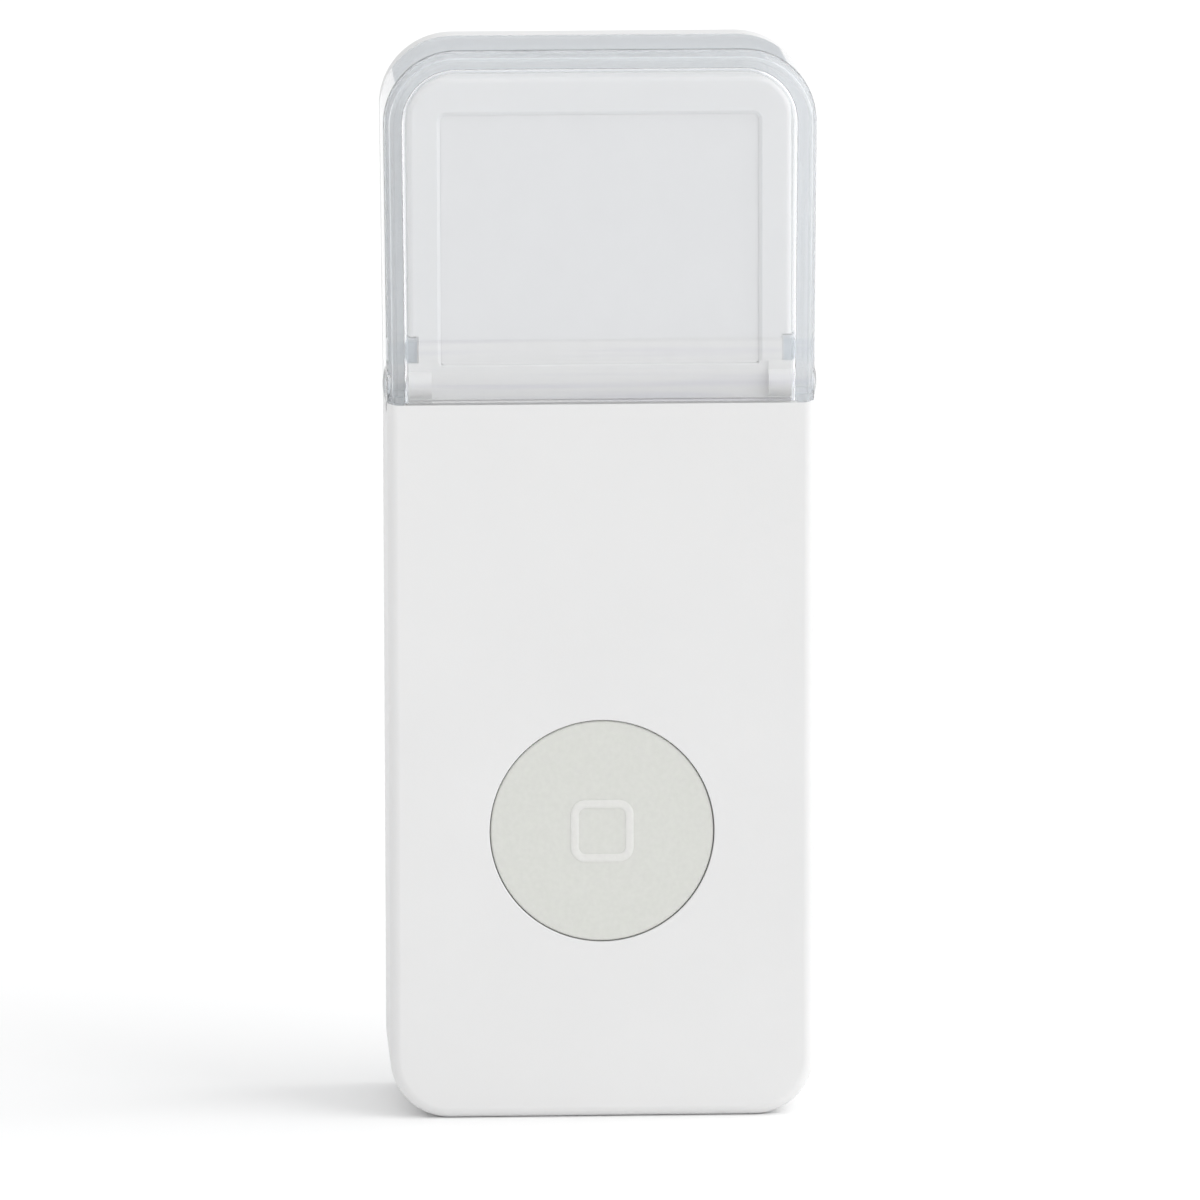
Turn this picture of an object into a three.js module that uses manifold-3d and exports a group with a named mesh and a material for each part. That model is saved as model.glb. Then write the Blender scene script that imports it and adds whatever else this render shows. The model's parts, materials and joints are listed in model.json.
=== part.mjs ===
// Wireless door push button with a clear flip-down name cover.
// Millimetres, +Z up, the front faces -Y. The origin is the middle of the base that it stands on.
import * as THREE from "three";
import { mergeVertices } from "three/addons/utils/BufferGeometryUtils.js";
import Module from "manifold-3d";

const wasm = await Module();
wasm.setup();

// ---- Driving dimensions ----------------------------------------------------------------------
const WIDTH = 35;
const DEPTH = 16;
const HEIGHT = 88.5;
const HALF = WIDTH / 2;
const FRONT = -DEPTH / 2;
const BACK = DEPTH / 2;
const CORNER_BOTTOM = 5;
const CORNER_TOP = 6;
const FRONT_FILLET = 0.9;
const BACK_FILLET = 0.8;
const WALL = 1.5;
const FRONT_WALL = 1.8;
const FLARE = 0.2; // how much wider each side is at the top than at the lid's foot

// The seam between the front housing and the rear cover
const SEAM_Y = BACK - 4;
const SEAM_GAP = 0.1;
const HOUSING_REAR = SEAM_Y - SEAM_GAP;
const BACK_WALL = 1.6;
const PAD_PROUD = 0.3; // how far the adhesive pads stand behind the rear cover
const COVER_BACK = BACK - PAD_PROUD;
const POCKET_Y = COVER_BACK - BACK_WALL; // floor of the rear cover's pocket
const PAD_WELL = 0.7;

// The lid and its hinge
const LID_FRONT_WALL = 1.6;
const LID_SIDE_WALL = 1.5;
const LID_TOP = HEIGHT;
const LID_FILLET = 1; // of the front edges of the lid
const LID_FOOT = 59.65;
const LID_REAR = SEAM_Y - 0.15;
const LID_INNER_FRONT = FRONT + LID_FRONT_WALL;
const HINGE_Y = FRONT + 3;
const HINGE_Z = 60.9;
const PIN_RADIUS = 0.7;
const PIN_CLEARANCE = 0.1;
const PIN_TIP_X = 14.8;
const BOSS_RADIUS = 1.6; // the shallow dome outside each pin
const BOSS_HEIGHT = 0.3;
const FOOT_RADIUS = Math.hypot(FRONT - HINGE_Y, LID_FOOT - HINGE_Z); // hinge to the foot's front edge
const EAR_RADIUS = FOOT_RADIUS - 0.05;
const TROUGH_RADIUS = FOOT_RADIUS + 0.1; // the trough that the lid's foot swings down through

// The catches that hold the lid shut, and the rib between them
const CATCH_Z = 63.8;
const CATCH_HALF_HEIGHT = 0.95;
const CATCH_TIP_X = 15;
const CATCH_FRONT = HINGE_Y - 0.5;
const CATCH_BACK = HINGE_Y + 0.4;
const CATCH_CLEARANCE = 0.15;
const RIB_BULGE = 0.25;
const RIB_HALF_HEIGHT = 1;

// The tower that the lid covers, and the name card in it
const TOWER_HALF = 15.7;
const TOWER_TOP = 86.1;
const TOWER_FRONT = FRONT + 2.4;
const TOWER_CORNER = 3.2;
const TOWER_FILLET = 0.5;
const TOWER_WALL = 1.6;
const RELIEF_TOP = 62.6; // below here the tower's front stands back a little, between the knuckles
const RELIEF_Y = TOWER_FRONT + 0.15;
const KNUCKLE_X = 13.8; // inner end of the lug round each hinge pin
const KNUCKLE_RADIUS = 1.25; // of the lugs, and of the tower's foot between them
const TROUGH_BACK = HINGE_Y + 0.25;
const TROUGH_WALL = 1.4;
const PASSAGE_HALF = 12; // opening for the aerial, from the lower cavity to the tower's cavity
const PASSAGE_TOP = 70;
const TOWER_CAVITY_BOTTOM = 66;
const CARD_HALF = 13;
const CARD_BOTTOM = RELIEF_TOP - 0.1;
const CARD_TOP = 83;
const CARD_GAP = 0.2; // round the card in its recess
const CARD_RECESS = 0.55;
const CARD_THICKNESS = 0.25;

// The button and the switch behind it
const BUTTON_Z = 24;
const BUTTON_RADIUS = 9;
const BUTTON_HOLE = 9.25;
const BUTTON_FACE = FRONT + 0.1;
const FLANGE_RADIUS = 10.3;
const FLANGE_FRONT = FRONT + 2.1;
const FLANGE_BACK = FLANGE_FRONT + 0.8;
const ICON_SIZE = 5.2;
const ICON_STROKE = 0.65;
const KEY_HALF = 0.85; // the button's key, between two ribs of the housing
const KEY_GAP = 0.3;
const SWITCH_HALF = 3.1;
const PLUNGER_TIP = -4.4;
const FREE_PLAY = 0.25; // from the button's post to the switch's plunger

// The circuit board
const BOARD_FRONT = 0;
const BOARD_THICKNESS = 1.2;
const BOARD_BACK = BOARD_FRONT + BOARD_THICKNESS;
const BOARD_HALF = 14.2;
const BOARD_BOTTOM = 10;
const BOARD_TOP = 56;

// The coin cell and its door
const CELL_Z = 36;
const CELL_RADIUS = 10;
const CELL_FRONT = BOARD_BACK + 0.45;
const CELL_THICKNESS = 3.2;
const DOOR_FLANGE = 14;
const DOOR_NECK = 12.1;
const DOOR_HOLE = 12.35;
const DOOR_TURN = 45; // degrees between locked and free
const LUG_RADIUS = 13.3;
const LUG_FRONT = 4.2;
const LUG_BACK = 5.1;
const COLLAR_FRONT = 5.3;
const SEAL_Y = 5.95; // middle of the groove that holds the door's seal

// Fasteners
const CASE_SCREWS = [
  [-12.6, 6],
  [12.6, 6],
  [-11, 81.5],
  [11, 81.5],
];
const BOARD_SCREWS = [
  [-10.5, 52.5],
  [10.5, 13.5],
];
const POST_RADIUS = 2.4;
const SCREW_SHANK = 0.9;
const SCREW_PILOT = 1;
const SCREW_HEAD = 1.9;

const CORNER_STEPS = 7; // segments in each rounded corner
const ROUND = 40; // segments in a large circle
const SMALL_ROUND = 20; // segments in a small one

// ---- Solids ----------------------------------------------------------------------------------
const X = new THREE.Vector3(1, 0, 0);
const Y = new THREE.Vector3(0, 1, 0);
const Z = new THREE.Vector3(0, 0, 1);

/** The manifold solid of a closed geometry, turned the right way out. */
function solid(geometry) {
  const bare = new THREE.BufferGeometry();
  bare.setAttribute("position", geometry.getAttribute("position"));
  bare.setIndex(geometry.getIndex());
  const merged = mergeVertices(bare, 1e-4);
  const vertProperties = new Float32Array(merged.attributes.position.array);
  const triVerts = new Uint32Array(merged.index.array);
  const made = new wasm.Manifold(new wasm.Mesh({ numProp: 3, vertProperties, triVerts }));
  if (made.volume() > 0) return made;
  for (let i = 0; i < triVerts.length; i += 3) {
    [triVerts[i + 1], triVerts[i + 2]] = [triVerts[i + 2], triVerts[i + 1]];
  }
  return new wasm.Manifold(new wasm.Mesh({ numProp: 3, vertProperties, triVerts }));
}

/** The three.js geometry of a manifold solid. */
function geometryOf(manifold) {
  const { numProp, numVert, vertProperties, triVerts } = manifold.getMesh();
  const positions = new Float32Array(numVert * 3);
  for (let i = 0; i < numVert; i++) {
    positions.set(vertProperties.subarray(i * numProp, i * numProp + 3), i * 3);
  }
  const geometry = new THREE.BufferGeometry();
  geometry.setAttribute("position", new THREE.BufferAttribute(positions, 3));
  geometry.setIndex(new THREE.BufferAttribute(new Uint32Array(triVerts), 1));
  geometry.computeVertexNormals();
  return geometry;
}

const union = (...solids) => solids.reduce((a, b) => a.add(b));
const cut = (base, ...tools) => tools.reduce((a, b) => a.subtract(b), base);

/** A box between two corners. */
function box(x0, x1, y0, y1, z0, z1) {
  const geometry = new THREE.BoxGeometry(x1 - x0, y1 - y0, z1 - z0);
  return solid(geometry.translate((x0 + x1) / 2, (y0 + y1) / 2, (z0 + z1) / 2));
}

/** A cylinder along Y, centred on x and z. */
function cylinderY(radius, y0, y1, x = 0, z = 0, segments = SMALL_ROUND) {
  const geometry = new THREE.CylinderGeometry(radius, radius, y1 - y0, segments);
  return solid(geometry.translate(x, (y0 + y1) / 2, z));
}

/** A cylinder along X, centred on y and z. */
function cylinderX(radius, x0, x1, y, z, segments = SMALL_ROUND) {
  const geometry = new THREE.CylinderGeometry(radius, radius, x1 - x0, segments);
  return solid(geometry.rotateZ(Math.PI / 2).translate((x0 + x1) / 2, y, z));
}

/** A solid of revolution about the Y axis, from [radius, y] points. */
function latheY(profile, segments = SMALL_ROUND) {
  const points = profile.map(([r, y]) => new THREE.Vector2(r, y));
  return solid(new THREE.LatheGeometry(points, segments));
}

/** A shape of the X-Z plane extruded from y0 to y1. */
function prismY(shape, y0, y1, curveSegments = CORNER_STEPS) {
  const options = { depth: y1 - y0, bevelEnabled: false, curveSegments };
  const geometry = new THREE.ExtrudeGeometry(shape, options);
  const basis = new THREE.Matrix4().makeBasis(X, Z, Y.clone().negate());
  return solid(geometry.applyMatrix4(basis).translate(0, y1, 0));
}

/** A shape of the Y-Z plane extruded from x0 to x1. */
function prismX(shape, x0, x1, curveSegments = 12) {
  const options = { depth: x1 - x0, bevelEnabled: false, curveSegments };
  const geometry = new THREE.ExtrudeGeometry(shape, options);
  const basis = new THREE.Matrix4().makeBasis(Y, Z, X);
  return solid(geometry.applyMatrix4(basis).translate(x0, 0, 0));
}

/** A round wire of a given radius along a curve. */
function wire(curve, radius, steps, sides = 6) {
  const section = new THREE.Shape();
  for (let i = 0; i < sides; i++) {
    const angle = (2 * Math.PI * i) / sides;
    const point = [radius * Math.cos(angle), radius * Math.sin(angle)];
    if (i) section.lineTo(...point);
    else section.moveTo(...point);
  }
  section.closePath();
  return solid(new THREE.ExtrudeGeometry(section, { steps, extrudePath: curve, bevelEnabled: false }));
}

/** Points of an upright rounded outline, whose sides may flare above a knee. */
function outline(size, inset = 0) {
  const { half, halfTop = half, bottom, top, cornerBottom, cornerTop, knee } = size;
  const points = [];
  const arc = (x, z, radius, from) => {
    for (let i = 0; i <= CORNER_STEPS; i++) {
      const angle = from + (Math.PI / 2) * (i / CORNER_STEPS);
      points.push(new THREE.Vector2(x + radius * Math.cos(angle), z + radius * Math.sin(angle)));
    }
  };
  const low = Math.max(cornerBottom - inset, 0.05);
  const high = Math.max(cornerTop - inset, 0.05);
  arc(half - inset - low, bottom + inset + low, low, -Math.PI / 2);
  if (knee) points.push(new THREE.Vector2(half - inset, knee));
  arc(halfTop - inset - high, top - inset - high, high, 0);
  arc(-(halfTop - inset - high), top - inset - high, high, Math.PI / 2);
  if (knee) points.push(new THREE.Vector2(-(half - inset), knee));
  arc(-(half - inset - low), bottom + inset + low, low, Math.PI);
  return points;
}

/** A closed solid along Y through one inset outline at each [y, inset] station. */
function loft(size, stations) {
  const rings = stations.map(([y, inset]) => outline(size, inset).map((p) => [p.x, y, p.y]));
  const count = rings[0].length;
  const index = [];
  for (let s = 0; s + 1 < rings.length; s++) {
    for (let i = 0; i < count; i++) {
      const a = s * count + i;
      const b = s * count + ((i + 1) % count);
      index.push(a, b, a + count, b, b + count, a + count);
    }
  }
  const last = (rings.length - 1) * count;
  for (const [a, b, c] of THREE.ShapeUtils.triangulateShape(outline(size, stations[0][1]), [])) {
    index.push(a, c, b);
  }
  for (const [a, b, c] of THREE.ShapeUtils.triangulateShape(outline(size, stations.at(-1)[1]), [])) {
    index.push(last + a, last + b, last + c);
  }
  const geometry = new THREE.BufferGeometry();
  geometry.setAttribute("position", new THREE.Float32BufferAttribute(rings.flat(2), 3));
  geometry.setIndex(index);
  return solid(geometry);
}

/** Stations of a quarter-round edge of a radius that starts at y and leads towards +Y or -Y. */
function roundedEdge(y, radius, towards, steps = 3) {
  return Array.from({ length: steps + 1 }, (_, i) => {
    const angle = (Math.PI / 2) * (i / steps);
    return [y + towards * radius * (1 - Math.cos(angle)), radius * (1 - Math.sin(angle))];
  });
}

// ---- Outlines --------------------------------------------------------------------------------
const BODY_OUTLINE = {
  half: HALF,
  bottom: 0,
  top: HEIGHT,
  cornerBottom: CORNER_BOTTOM,
  cornerTop: CORNER_TOP,
};
const COVER_OUTLINE = { ...BODY_OUTLINE, halfTop: HALF + FLARE, knee: LID_FOOT };
const LID_OUTLINE = { ...COVER_OUTLINE, top: LID_TOP };
const TOWER_OUTLINE = {
  half: TOWER_HALF,
  bottom: LID_FOOT - 8,
  top: TOWER_TOP,
  cornerBottom: 0.1,
  cornerTop: TOWER_CORNER,
};
/** Height of the trough's rim in the front face: where its arc meets the face. */
const LIP_Z = HINGE_Z - Math.sqrt(TROUGH_RADIUS ** 2 - (FRONT - HINGE_Y) ** 2);

/** The bottle outline of the housing's rear edge: the body below, the narrower tower above. */
function bottle(inset) {
  const shape = new THREE.Shape();
  const low = CORNER_BOTTOM - inset;
  const high = TOWER_CORNER - inset;
  const body = HALF - inset;
  const tower = TOWER_HALF - inset;
  const shoulder = LIP_Z - inset;
  const top = TOWER_TOP - inset;
  shape.moveTo(-(body - low), inset);
  shape.lineTo(body - low, inset);
  shape.absarc(body - low, inset + low, low, -Math.PI / 2, 0);
  shape.lineTo(body, shoulder);
  shape.lineTo(tower, shoulder);
  shape.lineTo(tower, top - high);
  shape.absarc(tower - high, top - high, high, 0, Math.PI / 2);
  shape.lineTo(-(tower - high), top);
  shape.absarc(-(tower - high), top - high, high, Math.PI / 2, Math.PI);
  shape.lineTo(-tower, shoulder);
  shape.lineTo(-body, shoulder);
  shape.lineTo(-body, inset + low);
  shape.absarc(-(body - low), inset + low, low, Math.PI, 1.5 * Math.PI);
  return shape;
}

/** The trough that the lid's foot swings down through, round the tower's foot, and the relief above. */
function footTrough() {
  const shape = new THREE.Shape();
  const start = Math.atan2(LIP_Z - HINGE_Z, FRONT - HINGE_Y);
  const back = TROUGH_BACK - HINGE_Y;
  const relief = RELIEF_Y - HINGE_Y;
  const bevel = 0.3;
  shape.moveTo(RELIEF_Y, RELIEF_TOP);
  shape.lineTo(TOWER_FRONT - 0.01, RELIEF_TOP + bevel);
  shape.lineTo(FRONT - 1, RELIEF_TOP + bevel);
  shape.lineTo(FRONT - 1, LIP_Z);
  shape.absarc(HINGE_Y, HINGE_Z, TROUGH_RADIUS, start, -Math.acos(back / TROUGH_RADIUS));
  const footStart = -Math.acos(back / KNUCKLE_RADIUS);
  const footEnd = -Math.acos(relief / KNUCKLE_RADIUS);
  shape.absarc(HINGE_Y, HINGE_Z, KNUCKLE_RADIUS, footStart, footEnd, true);
  return prismX(shape, -TOWER_HALF - 0.01, TOWER_HALF + 0.01);
}

/** A range along X on one side of the middle, from two distances. */
const span = (side, a, b) => [Math.min(side * a, side * b), Math.max(side * a, side * b)];

/** A disc about the hinge, a gap larger than the sweep of the lid's rounded lower front corner. */
function cornerDisc(side, start, end, gap) {
  const edge = HALF - LID_FILLET;
  const steps = 5;
  const last = Math.asin(Math.min(1, (end - edge) / LID_FILLET));
  const profile = [
    [0, start],
    [FOOT_RADIUS + gap, start],
  ];
  for (let i = 0; i <= steps; i++) {
    const angle = (last * i) / steps;
    const recede = LID_FILLET * (1 - Math.cos(angle));
    const radius = Math.hypot(FRONT + recede - HINGE_Y, LID_FOOT - HINGE_Z) + gap;
    profile.push([radius, edge + LID_FILLET * Math.sin(angle)]);
  }
  const [rim, reach] = profile.at(-1);
  if (end > reach + 0.01) profile.push([rim, end]);
  profile.push([0, Math.max(reach, end)]);
  const points = profile.map(([r, y]) => new THREE.Vector2(r, y));
  const disc = new THREE.LatheGeometry(points, ROUND);
  return solid(disc.rotateZ((-side * Math.PI) / 2).translate(0, HINGE_Y, HINGE_Z));
}

/** The round seat beside the tower, in which one of the lid's ears turns. */
const earSeat = (side) => cornerDisc(side, TOWER_HALF, HALF + 1, TROUGH_RADIUS - FOOT_RADIUS);

/** The lug at one end of the relief that holds a hinge pin. */
function knuckle(side) {
  const ends = span(side, KNUCKLE_X, TOWER_HALF);
  return union(
    cylinderX(KNUCKLE_RADIUS, ...ends, HINGE_Y, HINGE_Z, ROUND),
    box(...ends, TOWER_FRONT, HINGE_Y, HINGE_Z, RELIEF_TOP + 0.5),
  );
}

/** The blind hole for one hinge pin and the notch for the catch above it. */
function hingeHoles(side) {
  const bottom = CATCH_Z - CATCH_HALF_HEIGHT - CATCH_CLEARANCE;
  const top = CATCH_Z + CATCH_HALF_HEIGHT + CATCH_CLEARANCE;
  const holeX = span(side, PIN_TIP_X - PIN_CLEARANCE, TOWER_HALF + 1);
  const notchX = span(side, CATCH_TIP_X - CATCH_CLEARANCE, TOWER_HALF + 1);
  return union(
    cylinderX(PIN_RADIUS + PIN_CLEARANCE, ...holeX, HINGE_Y, HINGE_Z),
    box(...notchX, TOWER_FRONT - 1, CATCH_BACK + CATCH_CLEARANCE, bottom, top),
  );
}

/** A ring sector about the Y axis. Angles are in degrees from +X towards +Z. */
function sector(inner, outer, middle, width, y0, y1) {
  const shape = new THREE.Shape();
  const from = THREE.MathUtils.degToRad(middle - width / 2);
  const to = THREE.MathUtils.degToRad(middle + width / 2);
  shape.moveTo(inner * Math.cos(from), inner * Math.sin(from));
  shape.lineTo(outer * Math.cos(from), outer * Math.sin(from));
  shape.absarc(0, 0, outer, from, to);
  shape.lineTo(inner * Math.cos(to), inner * Math.sin(to));
  shape.absarc(0, 0, inner, to, from, true);
  return prismY(shape, y0, y1, 5);
}

const LUG_ANGLES = [90, 210, 330];
const LUG_WIDTH = 24; // degrees

// ---- The shells ------------------------------------------------------------------------------
function frontHousing() {
  const bodyStations = [...roundedEdge(FRONT, FRONT_FILLET, 1), [HOUSING_REAR, 0]];
  const belowLid = box(-HALF - 1, HALF + 1, FRONT - 1, BACK, -1, LIP_Z);
  const body = loft(BODY_OUTLINE, bodyStations).intersect(belowLid);
  const tower = loft(TOWER_OUTLINE, [...roundedEdge(TOWER_FRONT, TOWER_FILLET, 1), [HOUSING_REAR, 0]]);
  const outside = union(body, tower);

  const cavityFloor = FRONT + FRONT_WALL;
  const cavityTop = HINGE_Z - TROUGH_RADIUS - TROUGH_WALL;
  const lowerCavity = prismY(bottle(WALL), cavityFloor, BACK).intersect(
    box(-HALF, HALF, cavityFloor, BACK, 0, cavityTop),
  );
  const passageFront = TROUGH_BACK + TROUGH_WALL;
  const passage = box(-PASSAGE_HALF, PASSAGE_HALF, passageFront, BACK, cavityTop - 1, PASSAGE_TOP);
  const towerCavityFloor = TOWER_FRONT + TOWER_WALL;
  const towerCavity = prismY(bottle(WALL), towerCavityFloor, BACK).intersect(
    box(-HALF, HALF, FRONT, BACK, TOWER_CAVITY_BOTTOM, HEIGHT),
  );
  const rabbet = prismY(bottle(WALL / 2), HOUSING_REAR - 0.8, BACK);

  const cardShape = new THREE.Shape();
  const corner = 0.5;
  cardShape.moveTo(-CARD_HALF, CARD_BOTTOM);
  cardShape.lineTo(CARD_HALF, CARD_BOTTOM);
  cardShape.lineTo(CARD_HALF, CARD_TOP - corner);
  cardShape.absarc(CARD_HALF - corner, CARD_TOP - corner, corner, 0, Math.PI / 2);
  cardShape.lineTo(-(CARD_HALF - corner), CARD_TOP);
  cardShape.absarc(-(CARD_HALF - corner), CARD_TOP - corner, corner, Math.PI / 2, Math.PI);
  const cardRecess = prismY(cardShape, TOWER_FRONT - 1, TOWER_FRONT + CARD_RECESS, 3);

  const buttonHole = cylinderY(BUTTON_HOLE, FRONT - 1, cavityFloor + 1, 0, BUTTON_Z, ROUND);
  const sides = [-1, 1];
  const hollowed = cut(outside, lowerCavity, passage, towerCavity, rabbet, cardRecess, footTrough());
  const shell = cut(
    union(cut(hollowed, ...sides.map(earSeat)), ...sides.map(knuckle)),
    ...sides.map(hingeHoles),
    buttonHole,
  );

  const casePosts = CASE_SCREWS.map(([x, z]) => {
    const foot = (z > LID_FOOT ? towerCavityFloor : cavityFloor) - 0.5;
    return cut(
      cylinderY(POST_RADIUS, foot, HOUSING_REAR, x, z),
      cylinderY(SCREW_PILOT, foot + 1.5, BACK, x, z),
    );
  });
  const boardPostRadius = 2.2;
  const boardPosts = BOARD_SCREWS.map(([x, z]) =>
    cut(
      cylinderY(boardPostRadius, cavityFloor - 0.5, BOARD_FRONT - 0.05, x, z),
      cylinderY(SCREW_PILOT, cavityFloor + 1, BACK, x, z),
    ),
  );
  // Two ribs hold the button's key, so that the button can't turn
  const ribHalf = 0.5;
  const ribHeight = 1.2;
  const keyRibs = sides.map((side) => {
    const middle = side * (KEY_HALF + KEY_GAP + ribHalf);
    const foot = BUTTON_Z - FLANGE_RADIUS - ribHeight - KEY_GAP + 0.1;
    const ribBack = FLANGE_BACK + 0.8;
    return box(middle - ribHalf, middle + ribHalf, cavityFloor - 0.5, ribBack, foot, foot + ribHeight);
  });
  return union(shell, ...casePosts, ...boardPosts, ...keyRibs);
}

function rearCover() {
  const stations = [
    [SEAM_Y, 0],
    ...roundedEdge(COVER_BACK, BACK_FILLET, -1).reverse(),
  ];
  const slab = loft(COVER_OUTLINE, stations);
  const pocket = prismY(bottle(WALL), SEAM_Y - 1, POCKET_Y);
  const bosses = CASE_SCREWS.map(([x, z]) => cylinderY(POST_RADIUS + 0.2, SEAM_Y, POCKET_Y + 0.5, x, z));
  const collarWall = 3.2;
  const collar = cylinderY(DOOR_HOLE + collarWall, COLLAR_FRONT, POCKET_Y + 0.5, 0, CELL_Z, ROUND);
  const gap = 0.25;
  const entryWidth = LUG_WIDTH + 5;
  const entries = LUG_ANGLES.map((angle) => {
    const entry = sector(DOOR_NECK - 1, LUG_RADIUS + gap, angle - DOOR_TURN, entryWidth, 0, BACK);
    return entry.translate(0, 0, CELL_Z);
  });
  const doorSeat = COVER_BACK - 1.1;
  const doorRecess = cylinderY(DOOR_FLANGE + gap, doorSeat, BACK, 0, CELL_Z, ROUND);
  const screwSeat = COVER_BACK - 1.35;
  const screwHoles = CASE_SCREWS.map(([x, z]) =>
    union(
      cylinderY(SCREW_PILOT + 0.15, 0, BACK, x, z),
      cylinderY(SCREW_HEAD + gap, screwSeat, BACK, x, z),
    ),
  );
  const border = 0.3;
  const wells = PADS.map(({ half, bottom, top }) =>
    box(-half - border, half + border, COVER_BACK - PAD_WELL, BACK, bottom - border, top + border),
  );
  return cut(
    union(cut(slab, pocket), ...bosses, collar),
    cylinderY(DOOR_HOLE, 0, BACK + 1, 0, CELL_Z, ROUND),
    doorRecess,
    ...entries,
    ...screwHoles,
    ...wells,
  );
}

function clearLid() {
  const outside = loft(LID_OUTLINE, [...roundedEdge(FRONT, LID_FILLET, 1), [LID_REAR, 0]]);
  const insideOutline = {
    half: HALF - LID_SIDE_WALL,
    halfTop: HALF + FLARE - LID_SIDE_WALL,
    bottom: LID_FOOT - 8,
    top: LID_TOP - LID_FRONT_WALL,
    cornerBottom: 0.1,
    cornerTop: CORNER_TOP - LID_SIDE_WALL,
    knee: LID_FOOT,
  };
  const inside = loft(insideOutline, [...roundedEdge(LID_INNER_FRONT, 0.4, 1, 2), [BACK, 0]]);
  const above = box(-HALF - 1, HALF + 1, FRONT - 1, BACK, LID_FOOT, HEIGHT);
  const shell = cut(outside, inside).intersect(above);
  // The rear lower corners are rounded about the hinge, so that they clear the rear cover
  const swing = union(
    cylinderX(LID_REAR - HINGE_Y, -HALF - 1, HALF + 1, HINGE_Y, HINGE_Z, 96),
    box(-HALF - 1, HALF + 1, FRONT - 1, BACK, HINGE_Z, HEIGHT),
  );

  // A low rounded rib across the inside of the front wall, level with the catches
  const ribShape = new THREE.Shape();
  const ribRadius = (RIB_HALF_HEIGHT ** 2 + RIB_BULGE ** 2) / (2 * RIB_BULGE);
  const ribCentre = LID_INNER_FRONT + RIB_BULGE - ribRadius;
  const ribAngle = Math.asin(RIB_HALF_HEIGHT / ribRadius);
  ribShape.moveTo(LID_INNER_FRONT - 0.3, CATCH_Z + RIB_HALF_HEIGHT);
  ribShape.lineTo(LID_INNER_FRONT - 0.3, CATCH_Z - RIB_HALF_HEIGHT);
  ribShape.absarc(ribCentre, CATCH_Z, ribRadius, -ribAngle, ribAngle);
  const rib = prismX(ribShape, -(HALF - 1), HALF - 1, 6);

  const sides = [-1, 1].flatMap((side) => {
    const disc = cornerDisc(side, HALF - LID_SIDE_WALL, HALF - 0.05, EAR_RADIUS - FOOT_RADIUS);
    const ear = disc.intersect(box(-HALF, HALF, FRONT + 0.2, BACK, HINGE_Z - 8, LID_FOOT + 0.3));
    const pin = cylinderX(PIN_RADIUS, ...span(side, PIN_TIP_X, HALF - 0.5), HINGE_Y, HINGE_Z);
    const rootX = span(side, TOWER_HALF + 0.15, HALF - 0.5);
    const root = cylinderX(KNUCKLE_RADIUS, ...rootX, HINGE_Y, HINGE_Z);
    const snap = box(
      ...span(side, CATCH_TIP_X, HALF - 0.5),
      CATCH_FRONT,
      CATCH_BACK,
      CATCH_Z - CATCH_HALF_HEIGHT,
      CATCH_Z + CATCH_HALF_HEIGHT,
    );
    const bossSphere = (BOSS_RADIUS ** 2 + BOSS_HEIGHT ** 2) / (2 * BOSS_HEIGHT);
    const sphere = new THREE.SphereGeometry(bossSphere, 32, 24);
    sphere.rotateZ(Math.PI / 2).translate(side * (HALF + BOSS_HEIGHT - bossSphere), HINGE_Y, HINGE_Z);
    const bossBox = box(...span(side, HALF - 0.3, HALF + 1), FRONT, BACK, HINGE_Z - 5, HINGE_Z + 5);
    return [ear, pin, root, snap, solid(sphere).intersect(bossBox)];
  });
  return union(shell.intersect(swing), rib, ...sides);
}

// ---- The button and its switch ---------------------------------------------------------------
/** The button cap, about its own axis: disc, retaining flange, key and push post. */
function buttonCap() {
  const edge = 0.35;
  const cap = latheY(
    [
      [0, PLUNGER_TIP - FREE_PLAY],
      [1.6, PLUNGER_TIP - FREE_PLAY],
      [1.6, FLANGE_BACK],
      [FLANGE_RADIUS, FLANGE_BACK],
      [FLANGE_RADIUS, FLANGE_FRONT],
      [BUTTON_RADIUS, FLANGE_FRONT],
      [BUTTON_RADIUS, BUTTON_FACE + edge],
      [BUTTON_RADIUS - 0.3 * edge, BUTTON_FACE + 0.3 * edge],
      [BUTTON_RADIUS - edge, BUTTON_FACE],
      [0, BUTTON_FACE],
    ],
    ROUND,
  );
  const keyFront = FLANGE_FRONT + 0.05;
  const key = box(-KEY_HALF, KEY_HALF, keyFront, FLANGE_BACK, -FLANGE_RADIUS - 1, -FLANGE_RADIUS + 1);
  const frame = (size, radius) => {
    const half = size / 2;
    const shape = new THREE.Shape();
    shape.moveTo(-half + radius, -half);
    shape.lineTo(half - radius, -half);
    shape.absarc(half - radius, -half + radius, radius, -Math.PI / 2, 0);
    shape.absarc(half - radius, half - radius, radius, 0, Math.PI / 2);
    shape.absarc(-half + radius, half - radius, radius, Math.PI / 2, Math.PI);
    shape.absarc(-half + radius, -half + radius, radius, Math.PI, 1.5 * Math.PI);
    return shape;
  };
  const raised = prismY(frame(ICON_SIZE, 0.7), FRONT, BUTTON_FACE + 0.2, 3);
  const hole = prismY(frame(ICON_SIZE - 2 * ICON_STROKE, 0.3), FRONT - 1, BUTTON_FACE, 3);
  return union(cap, key, cut(raised, hole));
}

function buttonSealRing() {
  const ring = (radius, y0, y1) => cylinderY(radius, y0, y1, 0, 0, ROUND);
  const front = FRONT + FRONT_WALL + 0.05;
  return cut(ring(FLANGE_RADIUS, front, front + 0.2), ring(BUTTON_HOLE + 0.2, front - 1, front + 1));
}

function switchBase() {
  const body = box(-SWITCH_HALF, SWITCH_HALF, -3.45, BOARD_FRONT - 0.05, -SWITCH_HALF, SWITCH_HALF);
  return cut(body, cylinderY(2.45, -4, -2.2));
}

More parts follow.
